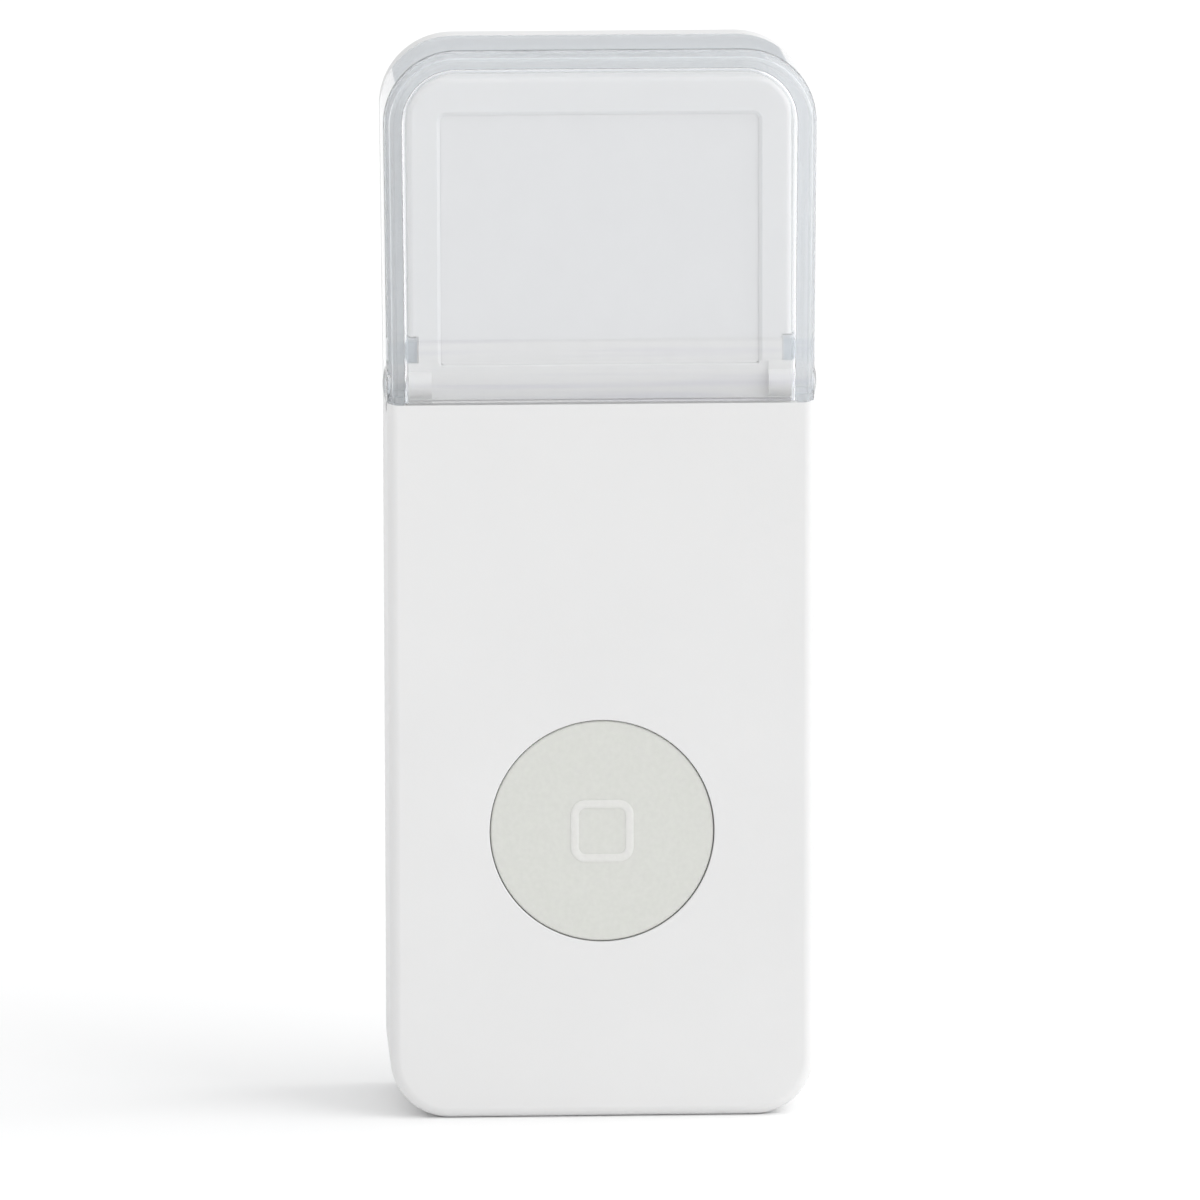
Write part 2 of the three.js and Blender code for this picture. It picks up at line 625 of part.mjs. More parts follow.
function switchCover() {
  const sheet = box(-SWITCH_HALF, SWITCH_HALF, -3.75, -3.5, -SWITCH_HALF, SWITCH_HALF);
  return cut(sheet, cylinderY(1.95, -5, -3));
}

/** The sprung steel dome under the plunger, which clicks and pushes the button back. */
function switchDome() {
  return latheY([
    [0, -3.1],
    [1, -3.02],
    [1.8, -2.8],
    [2.2, -2.6],
    [2.2, -2.7],
    [1.8, -2.92],
    [1, -3.13],
    [0, -3.2],
  ]);
}

function switchPlunger() {
  return latheY([
    [0, -3.4],
    [1.75, -3.4],
    [1.75, PLUNGER_TIP + 0.2],
    [1.55, PLUNGER_TIP],
    [0, PLUNGER_TIP],
  ]);
}

// ---- The board and what is on it -------------------------------------------------------------
function circuitBoard() {
  const size = {
    half: BOARD_HALF,
    bottom: BOARD_BOTTOM,
    top: BOARD_TOP,
    cornerBottom: 1.2,
    cornerTop: 1.2,
  };
  const board = loft(size, [
    [BOARD_FRONT, 0],
    [BOARD_BACK, 0],
  ]);
  return cut(board, ...BOARD_SCREWS.map(([x, z]) => cylinderY(1.25, -1, 2, x, z)));
}

/** A surface-mount block that stands off a board face at y, towards -Y or +Y. */
function chip(width, height, rise, y, towards = -1) {
  const [near, far] = [y + towards * 0.05, y + towards * rise];
  return box(-width / 2, width / 2, Math.min(near, far), Math.max(near, far), -height / 2, height / 2);
}

function rfChip() {
  const body = chip(5, 4, 1.6, BOARD_FRONT);
  const leads = [-1, 1].flatMap((side) =>
    [-1.5, -0.5, 0.5, 1.5].map((z) => {
      const [x0, x1] = [Math.min(side * 2.3, side * 3.1), Math.max(side * 2.3, side * 3.1)];
      return box(x0, x1, -0.35, -0.05, z - 0.2, z + 0.2);
    }),
  );
  return union(body, ...leads);
}

/** A quartz crystal in a low can with rounded ends. */
function quartzCrystal() {
  const size = { half: 5, bottom: -1.9, top: 1.9, cornerBottom: 1.85, cornerTop: 1.85 };
  const base = { half: 5.5, bottom: -2.3, top: 2.3, cornerBottom: 2.2, cornerTop: 2.2 };
  const can = loft(size, [...roundedEdge(-3.2, 0.3, 1, 2), [-0.3, 0]]);
  return union(can, loft(base, [[-0.5, 0], [-0.05, 0]]));
}

function storageCapacitor() {
  return latheY([
    [0, -0.05],
    [2.3, -0.05],
    [2.3, -0.6],
    [2, -0.7],
    [2, -4.7],
    [1.8, -4.9],
    [0, -4.9],
  ]);
}

function statusLed() {
  const base = chip(3, 1.6, 0.6, BOARD_FRONT);
  const lens = latheY(
    [
      [0, -0.5],
      [0.7, -0.5],
      [0.65, -0.9],
      [0.4, -1.2],
      [0, -1.3],
    ],
    12,
  );
  return union(base, lens);
}

/** A helix along Z with straight tails, as a list of points. */
function coilPoints({ x, y, radius, bottom, top, turns, tail }) {
  const points = tail.map((p) => new THREE.Vector3(...p));
  const steps = Math.round(turns * 10);
  for (let i = 0; i <= steps; i++) {
    const angle = (2 * Math.PI * turns * i) / steps + Math.PI / 2;
    const z = bottom + ((top - bottom) * i) / steps;
    points.push(new THREE.Vector3(x + radius * Math.cos(angle), y + radius * Math.sin(angle), z));
  }
  return points;
}

/** The copper wire aerial: up the back of the board, then a coil inside the tower. */
function antennaWire() {
  const points = coilPoints({
    x: -3,
    y: 0.4,
    radius: 2.2,
    bottom: 67,
    top: 80,
    turns: 5,
    tail: [
      [-3, BOARD_BACK + 0.5, 50],
      [-3, BOARD_BACK + 0.7, 56],
      [-3, 2.6, 60],
      [-3, 2.6, 65],
    ],
  });
  return wire(new THREE.CatmullRomCurve3(points), 0.4, 90);
}

function tuningCoil() {
  const points = coilPoints({
    x: 0,
    y: -1.7,
    radius: 1.1,
    bottom: -2.2,
    top: 2.2,
    turns: 4,
    tail: [[0.3, -0.35, -2.5]],
  });
  return wire(new THREE.CatmullRomCurve3(points), 0.3, 56);
}

// ---- The coin cell and its door, about the cell's axis ---------------------------------------
function coinCell() {
  const back = CELL_FRONT + CELL_THICKNESS;
  return latheY(
    [
      [0, CELL_FRONT],
      [8.7, CELL_FRONT],
      [8.9, CELL_FRONT + 0.35],
      [9.7, CELL_FRONT + 0.45],
      [CELL_RADIUS, CELL_FRONT + 0.8],
      [CELL_RADIUS, back - 0.3],
      [CELL_RADIUS - 0.3, back],
      [0, back],
    ],
    ROUND,
  );
}

function batteryNegativeContact() {
  const disc = cylinderY(5, BOARD_BACK + 0.05, BOARD_BACK + 0.2, 0, 0, 24);
  const arms = [0, 120, 240].map((angle) => sector(3, 4.5, angle, 40, BOARD_BACK + 0.1, BOARD_BACK + 0.38));
  return union(disc, ...arms);
}

/** The sprung steel bridge that holds the cell and is its positive contact. */
function batteryClip() {
  const halfWidth = 2.5;
  const reach = 10.7;
  const inside = CELL_RADIUS + 0.35;
  const footEnd = 12.4;
  const front = BOARD_BACK + 0.05;
  const plateFront = CELL_FRONT + CELL_THICKNESS + 0.1;
  const plateBack = plateFront + 0.25;
  const plate = box(-reach, reach, plateFront, plateBack, -halfWidth, halfWidth);
  const legs = [-1, 1].flatMap((side) => [
    box(...span(side, inside, reach), front, plateBack, -halfWidth, halfWidth),
    box(...span(side, inside, footEnd), front, front + 0.25, -halfWidth, halfWidth),
  ]);
  return union(plate, ...legs);
}

function batteryDoor() {
  const inner = 11.3;
  const innerFace = 5.6;
  const groove = 11.5;
  const grooveHalf = 0.4;
  const flangeFront = COVER_BACK - 1;
  const face = COVER_BACK - 0.1;
  const disc = latheY(
    [
      [0, innerFace],
      [inner, innerFace],
      [inner, LUG_FRONT],
      [DOOR_NECK, LUG_FRONT],
      [DOOR_NECK, SEAL_Y - grooveHalf],
      [groove, SEAL_Y - grooveHalf],
      [groove, SEAL_Y + grooveHalf],
      [DOOR_NECK, SEAL_Y + grooveHalf],
      [DOOR_NECK, flangeFront],
      [DOOR_FLANGE, flangeFront],
      [DOOR_FLANGE, face - 0.25],
      [DOOR_FLANGE - 0.25, face],
      [0, face],
    ],
    ROUND,
  );
  const lugs = LUG_ANGLES.map((angle) =>
    sector(DOOR_NECK - 0.4, LUG_RADIUS, angle, LUG_WIDTH, LUG_FRONT, LUG_BACK),
  );
  const slot = union(
    box(-6.5, 6.5, face - 1, BACK + 1, -0.9, 0.9),
    cylinderY(2.2, face - 0.7, BACK + 1),
  );
  const mark = cylinderY(0.5, face - 0.3, BACK + 1, 0, 11.6, 12);
  return cut(union(disc, ...lugs), slot, mark);
}

function batteryDoorSeal() {
  const ring = new THREE.TorusGeometry(11.92, 0.36, 6, ROUND);
  return solid(ring.rotateX(Math.PI / 2).translate(0, SEAL_Y, 0));
}

// ---- Small parts -----------------------------------------------------------------------------
function caseGasket() {
  const front = HOUSING_REAR - 0.75;
  const back = HOUSING_REAR - 0.05;
  const outside = prismY(bottle(WALL / 2 + 0.05), front, back);
  return cut(outside, prismY(bottle(WALL - 0.05), front - 1, back + 1));
}

function nameCard() {
  const back = TOWER_FRONT + CARD_RECESS - 0.03;
  const half = CARD_HALF - CARD_GAP;
  return box(-half, half, back - CARD_THICKNESS, back, CARD_BOTTOM + CARD_GAP, CARD_TOP - CARD_GAP);
}

/** A cross-head screw whose head's outer face is at y = 0 and whose shank runs towards -Y. */
function screw(length, headRise = 1.2) {
  const body = latheY(
    [
      [0, 0],
      [SCREW_HEAD - 0.35, 0],
      [SCREW_HEAD, -0.35],
      [SCREW_HEAD, -headRise],
      [SCREW_SHANK, -headRise],
      [SCREW_SHANK, 1.2 - length],
      [0.25, 0.2 - length],
      [0, 0.2 - length],
    ],
    16,
  );
  const arm = 1.05;
  return cut(
    body,
    box(-arm, arm, -0.7, 1, -0.22, 0.22),
    box(-0.22, 0.22, -0.7, 1, -arm, arm),
  );
}

const PADS = [
  { name: "adhesive_pad_lower", half: 9, bottom: 10, top: 19 },
  { name: "adhesive_pad_upper", half: 10.5, bottom: 56, top: 75 },
];

function adhesivePad({ half, bottom, top }) {
  return box(-half, half, COVER_BACK - PAD_WELL + 0.05, BACK, bottom, top);
}

// ---- Materials -------------------------------------------------------------------------------
const finish = (color, roughness, metalness = 0, extra = {}) =>
  new THREE.MeshStandardMaterial({ color, roughness, metalness, ...extra });
const whitePlastic = finish(0xe9e9e8, 0.45);
const clearPlastic = finish(0xdfe8ee, 0.05, 0, { transparent: true, opacity: 0.3 });
const glowPlastic = finish(0xdbdcd6, 0.5);
const paper = finish(0xe8e8ea, 0.9);
const steel = finish(0xc4c6c8, 0.3, 1);
const copper = finish(0xc07a48, 0.3, 1);
const blackPlastic = finish(0x1c1c1e, 0.5);
const boardGreen = finish(0x1f6b3f, 0.5);
const rubber = finish(0x2a2a2c, 0.85);
const silicone = finish(0xd9d9d4, 0.8);
const ceramicTan = finish(0xb59a72, 0.6);
const ledLens = finish(0xf2f0d8, 0.2);
const foam = finish(0xf1efe9, 0.95);

// ---- The assembly ----------------------------------------------------------------------------
const pushButton = new THREE.Group();

/** Adds a named mesh to a group, at x, y, z. */
function add(group, name, manifold, material, x = 0, y = 0, z = 0) {
  const mesh = new THREE.Mesh(geometryOf(manifold), material);
  mesh.name = name;
  mesh.position.set(x, y, z);
  group.add(mesh);
}

/** A group whose own origin is at a height on the centre line. */
function groupAt(z) {
  const group = new THREE.Group();
  group.position.z = z;
  pushButton.add(group);
  return group;
}

add(pushButton, "front_housing", frontHousing(), whitePlastic);
add(pushButton, "rear_cover", rearCover(), whitePlastic);
add(pushButton, "clear_lid", clearLid(), clearPlastic);
add(pushButton, "name_card", nameCard(), paper);
add(pushButton, "case_gasket", caseGasket(), rubber);

const button = groupAt(BUTTON_Z);
add(button, "button_cap", buttonCap(), glowPlastic);
add(button, "button_seal_ring", buttonSealRing(), silicone);
add(button, "switch_base", switchBase(), blackPlastic);
add(button, "switch_cover", switchCover(), steel);
add(button, "switch_plunger", switchPlunger(), blackPlastic);
add(button, "switch_dome", switchDome(), steel);

add(pushButton, "circuit_board", circuitBoard(), boardGreen);
add(pushButton, "rf_chip", rfChip(), blackPlastic, 6, 0, 48);
add(pushButton, "quartz_crystal", quartzCrystal(), steel, -3, 0, 41);
add(pushButton, "storage_capacitor", storageCapacitor(), steel, -11, 0, 34.5);
add(pushButton, "status_led", statusLed(), ledLens, 6.5, 0, 30);
add(pushButton, "tuning_coil", tuningCoil(), copper, -2.5, 0, 50);
add(pushButton, "antenna_wire", antennaWire(), copper);
const PASSIVES = [
  [-7, 46],
  [-7, 48.5],
  [11, 44],
  [11, 41.5],
  [5, 37],
  [9, 37],
  [-9, 15],
  [-6, 13],
];
PASSIVES.forEach(([x, z], i) => {
  const capacitor = i % 2 === 0;
  const name = `${capacitor ? "chip_capacitor" : "chip_resistor"}_${Math.floor(i / 2) + 1}`;
  const rise = capacitor ? 0.9 : 0.55;
  add(pushButton, name, chip(2, 1.25, rise, BOARD_FRONT), capacitor ? ceramicTan : blackPlastic, x, 0, z);
});

const battery = groupAt(CELL_Z);
add(battery, "coin_cell", coinCell(), steel);
add(battery, "battery_negative_contact", batteryNegativeContact(), steel);
add(battery, "battery_clip", batteryClip(), steel);
add(battery, "battery_door", batteryDoor(), whitePlastic);
add(battery, "battery_door_seal", batteryDoorSeal(), rubber);

CASE_SCREWS.forEach(([x, z], i) => {
  add(pushButton, `case_screw_${i + 1}`, screw(10), steel, x, COVER_BACK - 0.1, z);
});
BOARD_SCREWS.forEach(([x, z], i) => {
  add(pushButton, `board_screw_${i + 1}`, screw(6), steel, x, BOARD_BACK + 1.3, z);
});
PADS.forEach((pad) => add(pushButton, pad.name, adhesivePad(pad), foam));

export default pushButton;
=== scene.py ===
"""Looks for a wireless doorbell push button: white housing, glow button, clear flip-down name cover.

Shapes are worked out in millimetres, in the CAD's frame, and scaled to metres as each piece is made.
"""

import json
import math

import bmesh
import bpy
from mathutils import Matrix, Vector


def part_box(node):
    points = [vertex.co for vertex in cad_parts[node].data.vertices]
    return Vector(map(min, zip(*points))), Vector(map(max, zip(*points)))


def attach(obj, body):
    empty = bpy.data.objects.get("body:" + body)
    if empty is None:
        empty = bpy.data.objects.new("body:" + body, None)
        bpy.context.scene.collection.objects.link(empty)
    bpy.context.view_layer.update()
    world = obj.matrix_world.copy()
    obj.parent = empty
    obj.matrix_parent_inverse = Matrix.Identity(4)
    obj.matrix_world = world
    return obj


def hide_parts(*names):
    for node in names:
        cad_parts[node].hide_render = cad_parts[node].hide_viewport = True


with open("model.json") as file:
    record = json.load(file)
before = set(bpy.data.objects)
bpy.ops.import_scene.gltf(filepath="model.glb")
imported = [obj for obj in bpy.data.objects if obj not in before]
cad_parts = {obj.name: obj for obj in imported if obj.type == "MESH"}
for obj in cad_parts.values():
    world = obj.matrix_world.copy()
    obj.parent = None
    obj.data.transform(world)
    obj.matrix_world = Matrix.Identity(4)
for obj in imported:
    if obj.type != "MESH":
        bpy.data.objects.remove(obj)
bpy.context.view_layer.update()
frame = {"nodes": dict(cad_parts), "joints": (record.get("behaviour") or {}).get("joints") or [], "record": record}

# ---- Sizes in millimetres ----------------------------------------------------------------------
MM = 0.001


def box_mm(node):
    low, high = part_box(node)
    return low / MM, high / MM


HOUSING_LOW, HOUSING_HIGH = box_mm("front_housing")
COVER_LOW, COVER_HIGH = box_mm("rear_cover")
LID_HIGH = box_mm("clear_lid")[1]
JOINTS = {joint["name"]: joint for joint in frame["joints"]}
HINGE_Y, HINGE_Z = (c / MM for c in JOINTS["lid_hinge"]["pos_m"][1:])

FRONT = HOUSING_LOW.y
HALF = HOUSING_HIGH.x
HOUSING_REAR = HOUSING_HIGH.y
SEAM_Y = COVER_LOW.y
COVER_BACK = COVER_HIGH.y
HEIGHT = COVER_HIGH.z
LID_TOP = LID_HIGH.z
LID_REAR = LID_HIGH.y
FLARE = COVER_HIGH.x - HALF
LID_FOOT = 59.65
TOWER_TOP = HOUSING_HIGH.z
TOWER_HALF = 15.7
TOWER_FRONT = FRONT + 2.4
TOWER_CORNER = 3.2
TOWER_FILLET = 0.5
TOWER_WALL = 1.6
TOWER_CAVITY_BOTTOM = 66
PASSAGE_HALF = 12  # the passage between the cavities of the body and of the tower
PASSAGE_TOP = 70
PASSAGE_FRONT = HINGE_Y + 1.65
TROUGH_RADIUS = 3.28
TROUGH_WALL = 1.4
LIP_RADIUS = 0.03
LID_OPEN = math.radians(50)
SWING_GAP = 0.1
OPEN_GAP = 0.025  # between the fully open lid's front and the edge of the body
LID_FILLET = 1.0
SHOULDER_Z = 59.58
RELIEF_TOP = 62.6  # below here the tower's front stands back a little, between the knuckles
RELIEF_RISE = 0.3
RELIEF_Y = TOWER_FRONT + 0.15
KNUCKLE_X = 13.8
KNUCKLE_RADIUS = 1.25
WEB_RISE = 0.4  # of the knuckles' webs, above the relief
TOWER_FOOT_RADIUS = 1.35
CORNER_BOTTOM = 5
CORNER_TOP = 6
FRONT_FILLET = 0.95
BACK_FILLET = 0.8
WALL = 1.5
FRONT_WALL = 1.8
BACK_WALL = 1.6
PIN_RADIUS = 0.7
PIN_CLEARANCE = 0.1
PIN_TIP_X = 14.8
STEP = 0.002  # keeps faces of joined pieces out of one plane, where a boolean could fail
LID_SIDE_WALL = 1.5
LID_FRONT_WALL = 1.6
LID_INNER_FRONT = FRONT + LID_FRONT_WALL
LID_ROOT = HALF - 0.5  # how far into its walls the pins and the catches are rooted
PIN_ROOT_X = TOWER_HALF + 0.15  # the inner end of the thick root round each pin
FOOT_RADIUS = math.hypot(FRONT - HINGE_Y, LID_FOOT - HINGE_Z)  # from the hinge to the foot's front edge
EAR_RADIUS = 3.2
EAR_REACH = HALF - 0.05
BOSS_RADIUS = 1.6
BOSS_HEIGHT = LID_HIGH.x - HALF
CATCH_Z = 63.8
CATCH_HALF_HEIGHT = 0.95
CATCH_TIP_X = 15
CATCH_Y = (HINGE_Y - 0.5, HINGE_Y + 0.4)
CATCH_CLEARANCE = 0.15
RIB_BULGE = 0.25
RIB_HALF_HEIGHT = 1
CARD_HALF = 13
CARD_TOP = 83
CARD_RECESS = 0.55
CARD_SLOPE = 0.3
CARD_BOTTOM = RELIEF_TOP - 0.1
CARD_GAP = 0.01
BUTTON_Z = 24
BUTTON_HOLE = 9.25
BUTTON_RADIUS = 9.19
BUTTON_FACE = FRONT + 0.1
BUTTON_EDGE = 0.22
BUTTON_RIM = 0.1  # rounding of the hole's edge
ICON_SIZE = 5.2
ICON_STROKE = 0.7
ICON_RISE = 0.07
CELL_Z = 36
COLLAR_FRONT = 5.3
COLLAR_RADIUS = 15.55
DOOR_RADIUS = 14
DOOR_GAP = 0.25
DOOR_OPENING = 12.35
FLANGE_DEPTH = 1  # from the back's face to the front of the door's flange
CASE_SCREWS = [(-12.6, 6), (12.6, 6), (-11, 81.5), (11, 81.5)]
SCREW_HEAD = 1.9
SCREW_SEAT = 1.35  # from the back's face to the bottom of each screw's recess
SCREW_HOLE = 1.15
SCREW_BOSS = 2.6
REAR_RIM = 0.15  # chamfer of the holes in the rear cover
PADS = ("adhesive_pad_lower", "adhesive_pad_upper")
PAD_GAP = 0.3
PAD_WELL = 0.7

CORNER_STEPS = 20  # segments in each rounded corner
EDGE_STEPS = 8  # segments in each rounded edge
TROUGH_STEPS = 32
ROUND = 128  # segments in a large circle
SMALL_ROUND = 48

# ---- Mesh helpers ------------------------------------------------------------------------------


def weld(mesh):
    """Merges points of a mesh that coincide, and turns its faces outwards."""
    work = bmesh.new()
    work.from_mesh(mesh)
    bmesh.ops.remove_doubles(work, verts=work.verts, dist=1e-4)
    bmesh.ops.dissolve_degenerate(work, edges=work.edges, dist=1e-4)
    bmesh.ops.recalc_face_normals(work, faces=work.faces)
    work.to_mesh(mesh)
    work.free()


def new_object(name, vertices, faces):
    """An object in the scene from points in millimetres."""
    mesh = bpy.data.meshes.new(name)
    mesh.from_pydata(vertices, [], faces)
    weld(mesh)
    piece = bpy.data.objects.new(name, mesh)
    bpy.context.scene.collection.objects.link(piece)
    return piece


def arc(x, z, radius, start, end, steps):
    """Points of an arc between two angles in degrees."""
    points = []
    for i in range(steps + 1):
        angle = math.radians(start + (end - start) * i / steps)
        points.append((x + radius * math.cos(angle), z + radius * math.sin(angle)))
    return points


def rounded_outline(half, bottom, top, corner_bottom, corner_top, half_top=None, knee=None, inset=0.0):
    """Points (x, z) of an upright rounded outline, whose sides may flare above a knee."""
    half_top = half if half_top is None else half_top
    low = max(corner_bottom - inset, 0.04)
    high = max(corner_top - inset, 0.04)
    x_low, x_high = half - inset - low, half_top - inset - high
    z_low, z_high = bottom + inset + low, top - inset - high
    points = arc(x_low, z_low, low, -90, 0, CORNER_STEPS)
    if knee:
        points.append((half - inset, knee))
    points += arc(x_high, z_high, high, 0, 90, CORNER_STEPS)
    points += arc(-x_high, z_high, high, 90, 180, CORNER_STEPS)
    if knee:
        points.append((-(half - inset), knee))
    points += arc(-x_low, z_low, low, 180, 270, CORNER_STEPS)
    return points


def rounded_edge(y, radius, towards, steps=EDGE_STEPS):
    """(y, inset) stations of a quarter-round edge that starts at y and leads towards +Y or -Y."""
    return [
        (y + towards * radius * (1 - math.cos(a)), radius * (1 - math.sin(a)))
        for a in (math.pi / 2 * i / steps for i in range(steps + 1))
    ]


def loft(name, size, stations):
    """A closed piece along Y, with one inset outline at each (y, inset) station."""
    rings = [[(x, y, z) for x, z in rounded_outline(**size, inset=inset)] for y, inset in stations]
    count = len(rings[0])
    faces = [list(range(count)), list(range((len(rings) - 1) * count, len(rings) * count))]
    for s in range(len(rings) - 1):
        for i in range(count):
            j = (i + 1) % count
            faces.append([s * count + i, s * count + j, (s + 1) * count + j, (s + 1) * count + i])
    return new_object(name, [p for ring in rings for p in ring], faces)


def prism(name, outline, low, high, axis="Y"):
    """An outline extruded along Y, from (x, z) points, or along X, from (y, z) points."""
    count = len(outline)
    if axis == "Y":
        vertices = [(a, w, b) for w in (low, high) for a, b in outline]
    else:
        vertices = [(w, a, b) for w in (low, high) for a, b in outline]
    faces = [list(range(count)), list(range(count, 2 * count))]
    faces += [[i, (i + 1) % count, count + (i + 1) % count, count + i] for i in range(count)]
    return new_object(name, vertices, faces)


def block(name, x, y, z):
    """A box from three (low, high) pairs."""
    return prism(name, [(x[0], z[0]), (x[1], z[0]), (x[1], z[1]), (x[0], z[1])], y[0], y[1])


def lathe(name, profile, x=0.0, z=0.0, segments=ROUND):
    """A piece turned about an axis along Y, from (radius, y) points that start and end at radius 0."""
    vertices, rings = [], []
    for radius, y in profile:
        if radius < 1e-6:
            rings.append([len(vertices)])
            vertices.append((x, y, z))
            continue
        rings.append(list(range(len(vertices), len(vertices) + segments)))
        for i in range(segments):
            angle = 2 * math.pi * i / segments
            vertices.append((x + radius * math.cos(angle), y, z + radius * math.sin(angle)))
    faces = []
    for a, b in zip(rings, rings[1:]):
        for i in range(segments):
            j = (i + 1) % segments
            face = [a[i % len(a)], a[j % len(a)], b[j % len(b)], b[i % len(b)]]
            faces.append(list(dict.fromkeys(face)))
    return new_object(name, vertices, [f for f in faces if len(f) > 2])


def rod_x(name, radius, x, y, z, segments=SMALL_ROUND):
    """A round rod along X between two (low, high) ends."""
    return prism(name, arc(y, z, radius, 0, 360 - 360 / segments, segments - 1), x[0], x[1], "X")


def combine(piece, operation, *tools):
    """Joins tools to a piece, cuts them from it, or keeps what is in both. The tools are used up."""
    for tool in tools:
        modifier = piece.modifiers.new("combine", "BOOLEAN")
        modifier.operation = operation
        modifier.solver = "EXACT"
        modifier.object = tool
        depsgraph = bpy.context.evaluated_depsgraph_get()
        result = bpy.data.meshes.new_from_object(piece.evaluated_get(depsgraph))
        weld(result)
        piece.modifiers.clear()
        piece.data = result
        bpy.data.objects.remove(tool)
    return piece


def cut(piece, *tools):
    return combine(piece, "DIFFERENCE", *tools)


def join(piece, *tools):
    return combine(piece, "UNION", *tools)


def keep(piece, *tools):
    return combine(piece, "INTERSECT", *tools)


def finish_piece(piece, material, body, slot, *nodes, bevel=0.0, angle=30):
    """Scales a piece to metres, shades it, and ties it to its CAD body and nodes. The slot is not used."""
    mesh = piece.data
    mesh.transform(Matrix.Scale(MM, 4))
    mesh.materials.clear()
    mesh.materials.append(material)
    for polygon in mesh.polygons:
        polygon.use_smooth = True
        polygon.material_index = 0
    mesh.set_sharp_from_angle(angle=math.radians(angle))
    if bevel:
        modifier = piece.modifiers.new("edges", "BEVEL")
        modifier.width = bevel * MM
        modifier.segments = 2
        modifier.limit_method = "ANGLE"
        modifier.angle_limit = math.radians(50)
    weighted = piece.modifiers.new("normals", "WEIGHTED_NORMAL")
    weighted.keep_sharp = True
    weighted.weight = 80
    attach(piece, body)
    if nodes:
        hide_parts(*nodes)
    return piece


# ---- Materials ---------------------------------------------------------------------------------


class Shader:
    """A new material with its Principled node, and short calls for the nodes that feed it."""

    def __init__(self, name, colour, roughness, metallic=0.0):
        self.material = bpy.data.materials.new(name)
        self.material.use_nodes = True
        self.tree = self.material.node_tree
        self.surface = self.tree.nodes["Principled BSDF"]
        self.output = self.tree.nodes["Material Output"]
        self.set("Base Color", (*colour, 1))
        self.set("Roughness", roughness)
        self.set("Metallic", metallic)
        self.place = self.node("ShaderNodeTexCoord").outputs["Object"]

    def node(self, kind, **values):
        made = self.tree.nodes.new(kind)
        for name, value in values.items():
            setattr(made, name, value)
        return made

    def link(self, source, target):
        self.tree.links.new(source, target)

    def set(self, socket, value):
        self.surface.inputs[socket].default_value = value

    def noise(self, size_mm, detail=3.0, stretch=(1, 1, 1)):
        """Noise whose blobs are about size_mm across."""
        mapping = self.node("ShaderNodeMapping")
        mapping.inputs["Scale"].default_value = Vector(stretch) / (size_mm * MM)
        self.link(self.place, mapping.inputs["Vector"])
        noise = self.node("ShaderNodeTexNoise")
        noise.inputs["Scale"].default_value = 1.0
        noise.inputs["Detail"].default_value = detail
        self.link(mapping.outputs["Vector"], noise.inputs["Vector"])
        return noise.outputs["Fac"]

    def ramp(self, factor, low, high, start=0.3, end=0.7):
        """A colour that runs from low to high as the factor runs from start to end."""
        ramp = self.node("ShaderNodeValToRGB")
        ramp.color_ramp.elements[0].position = start
        ramp.color_ramp.elements[1].position = end
        ramp.color_ramp.elements[0].color = (*low, 1)
        ramp.color_ramp.elements[1].color = (*high, 1)
        self.link(factor, ramp.inputs["Fac"])
        return ramp.outputs["Color"]

    def colour(self, factor, low, high, start=0.3, end=0.7):
        self.link(self.ramp(factor, low, high, start, end), self.surface.inputs["Base Color"])

    def roughness(self, factor, low, high, start=0.3, end=0.7):
        spread = self.node("ShaderNodeMapRange")
        spread.inputs["From Min"].default_value = start
        spread.inputs["From Max"].default_value = end
        spread.inputs["To Min"].default_value = low
        spread.inputs["To Max"].default_value = high
        self.link(factor, spread.inputs["Value"])
        self.link(spread.outputs["Result"], self.surface.inputs["Roughness"])

    def math(self, operation, value, other=None):
        """One step of arithmetic on a socket, with a number or a second socket."""
        step = self.node("ShaderNodeMath", operation=operation)
        self.link(value, step.inputs[0])
        if isinstance(other, (int, float)):
            step.inputs[1].default_value = other
        elif other is not None:
            self.link(other, step.inputs[1])
        return step.outputs["Value"]

    def mix(self, factor, first, second):
        """The first colour where the factor is 0, and the plain second one where it is 1."""
        mix = self.node("ShaderNodeMix", data_type="RGBA")
        self.link(factor, mix.inputs["Factor"])
        self.link(first, mix.inputs["A"])
        mix.inputs["B"].default_value = second
        return mix.outputs["Result"]

    def bump(self, height, depth_mm, strength=1.0):
        bump = self.node("ShaderNodeBump")
        bump.inputs["Distance"].default_value = depth_mm * MM
        bump.inputs["Strength"].default_value = strength
        self.link(height, bump.inputs["Height"])
        if self.surface.inputs["Normal"].is_linked:
            self.link(self.surface.inputs["Normal"].links[0].from_socket, bump.inputs["Normal"])
        self.link(bump.outputs["Normal"], self.surface.inputs["Normal"])


def white_plastic(name, tone, shine):
    """White ABS with a fine spark-eroded texture and the faint clouding of a moulding."""
    s = Shader(name, (tone, tone, tone), 0.5)
    s.colour(s.noise(14, 2), (tone - 0.007,) * 3, (tone + 0.007,) * 3)
    s.roughness(s.noise(2.5, 4), 0.45, 0.55)
    s.bump(s.noise(0.22, 2), 0.006, 0.6)
    s.bump(s.noise(11, 1), 0.006, 0.15)
    s.set("Specular IOR Level", shine)
    s.set("Subsurface Weight", 0.08)
    s.set("Subsurface Radius", (1.0, 0.9, 0.8))
    s.set("Subsurface Scale", 0.0012)
    return s.material


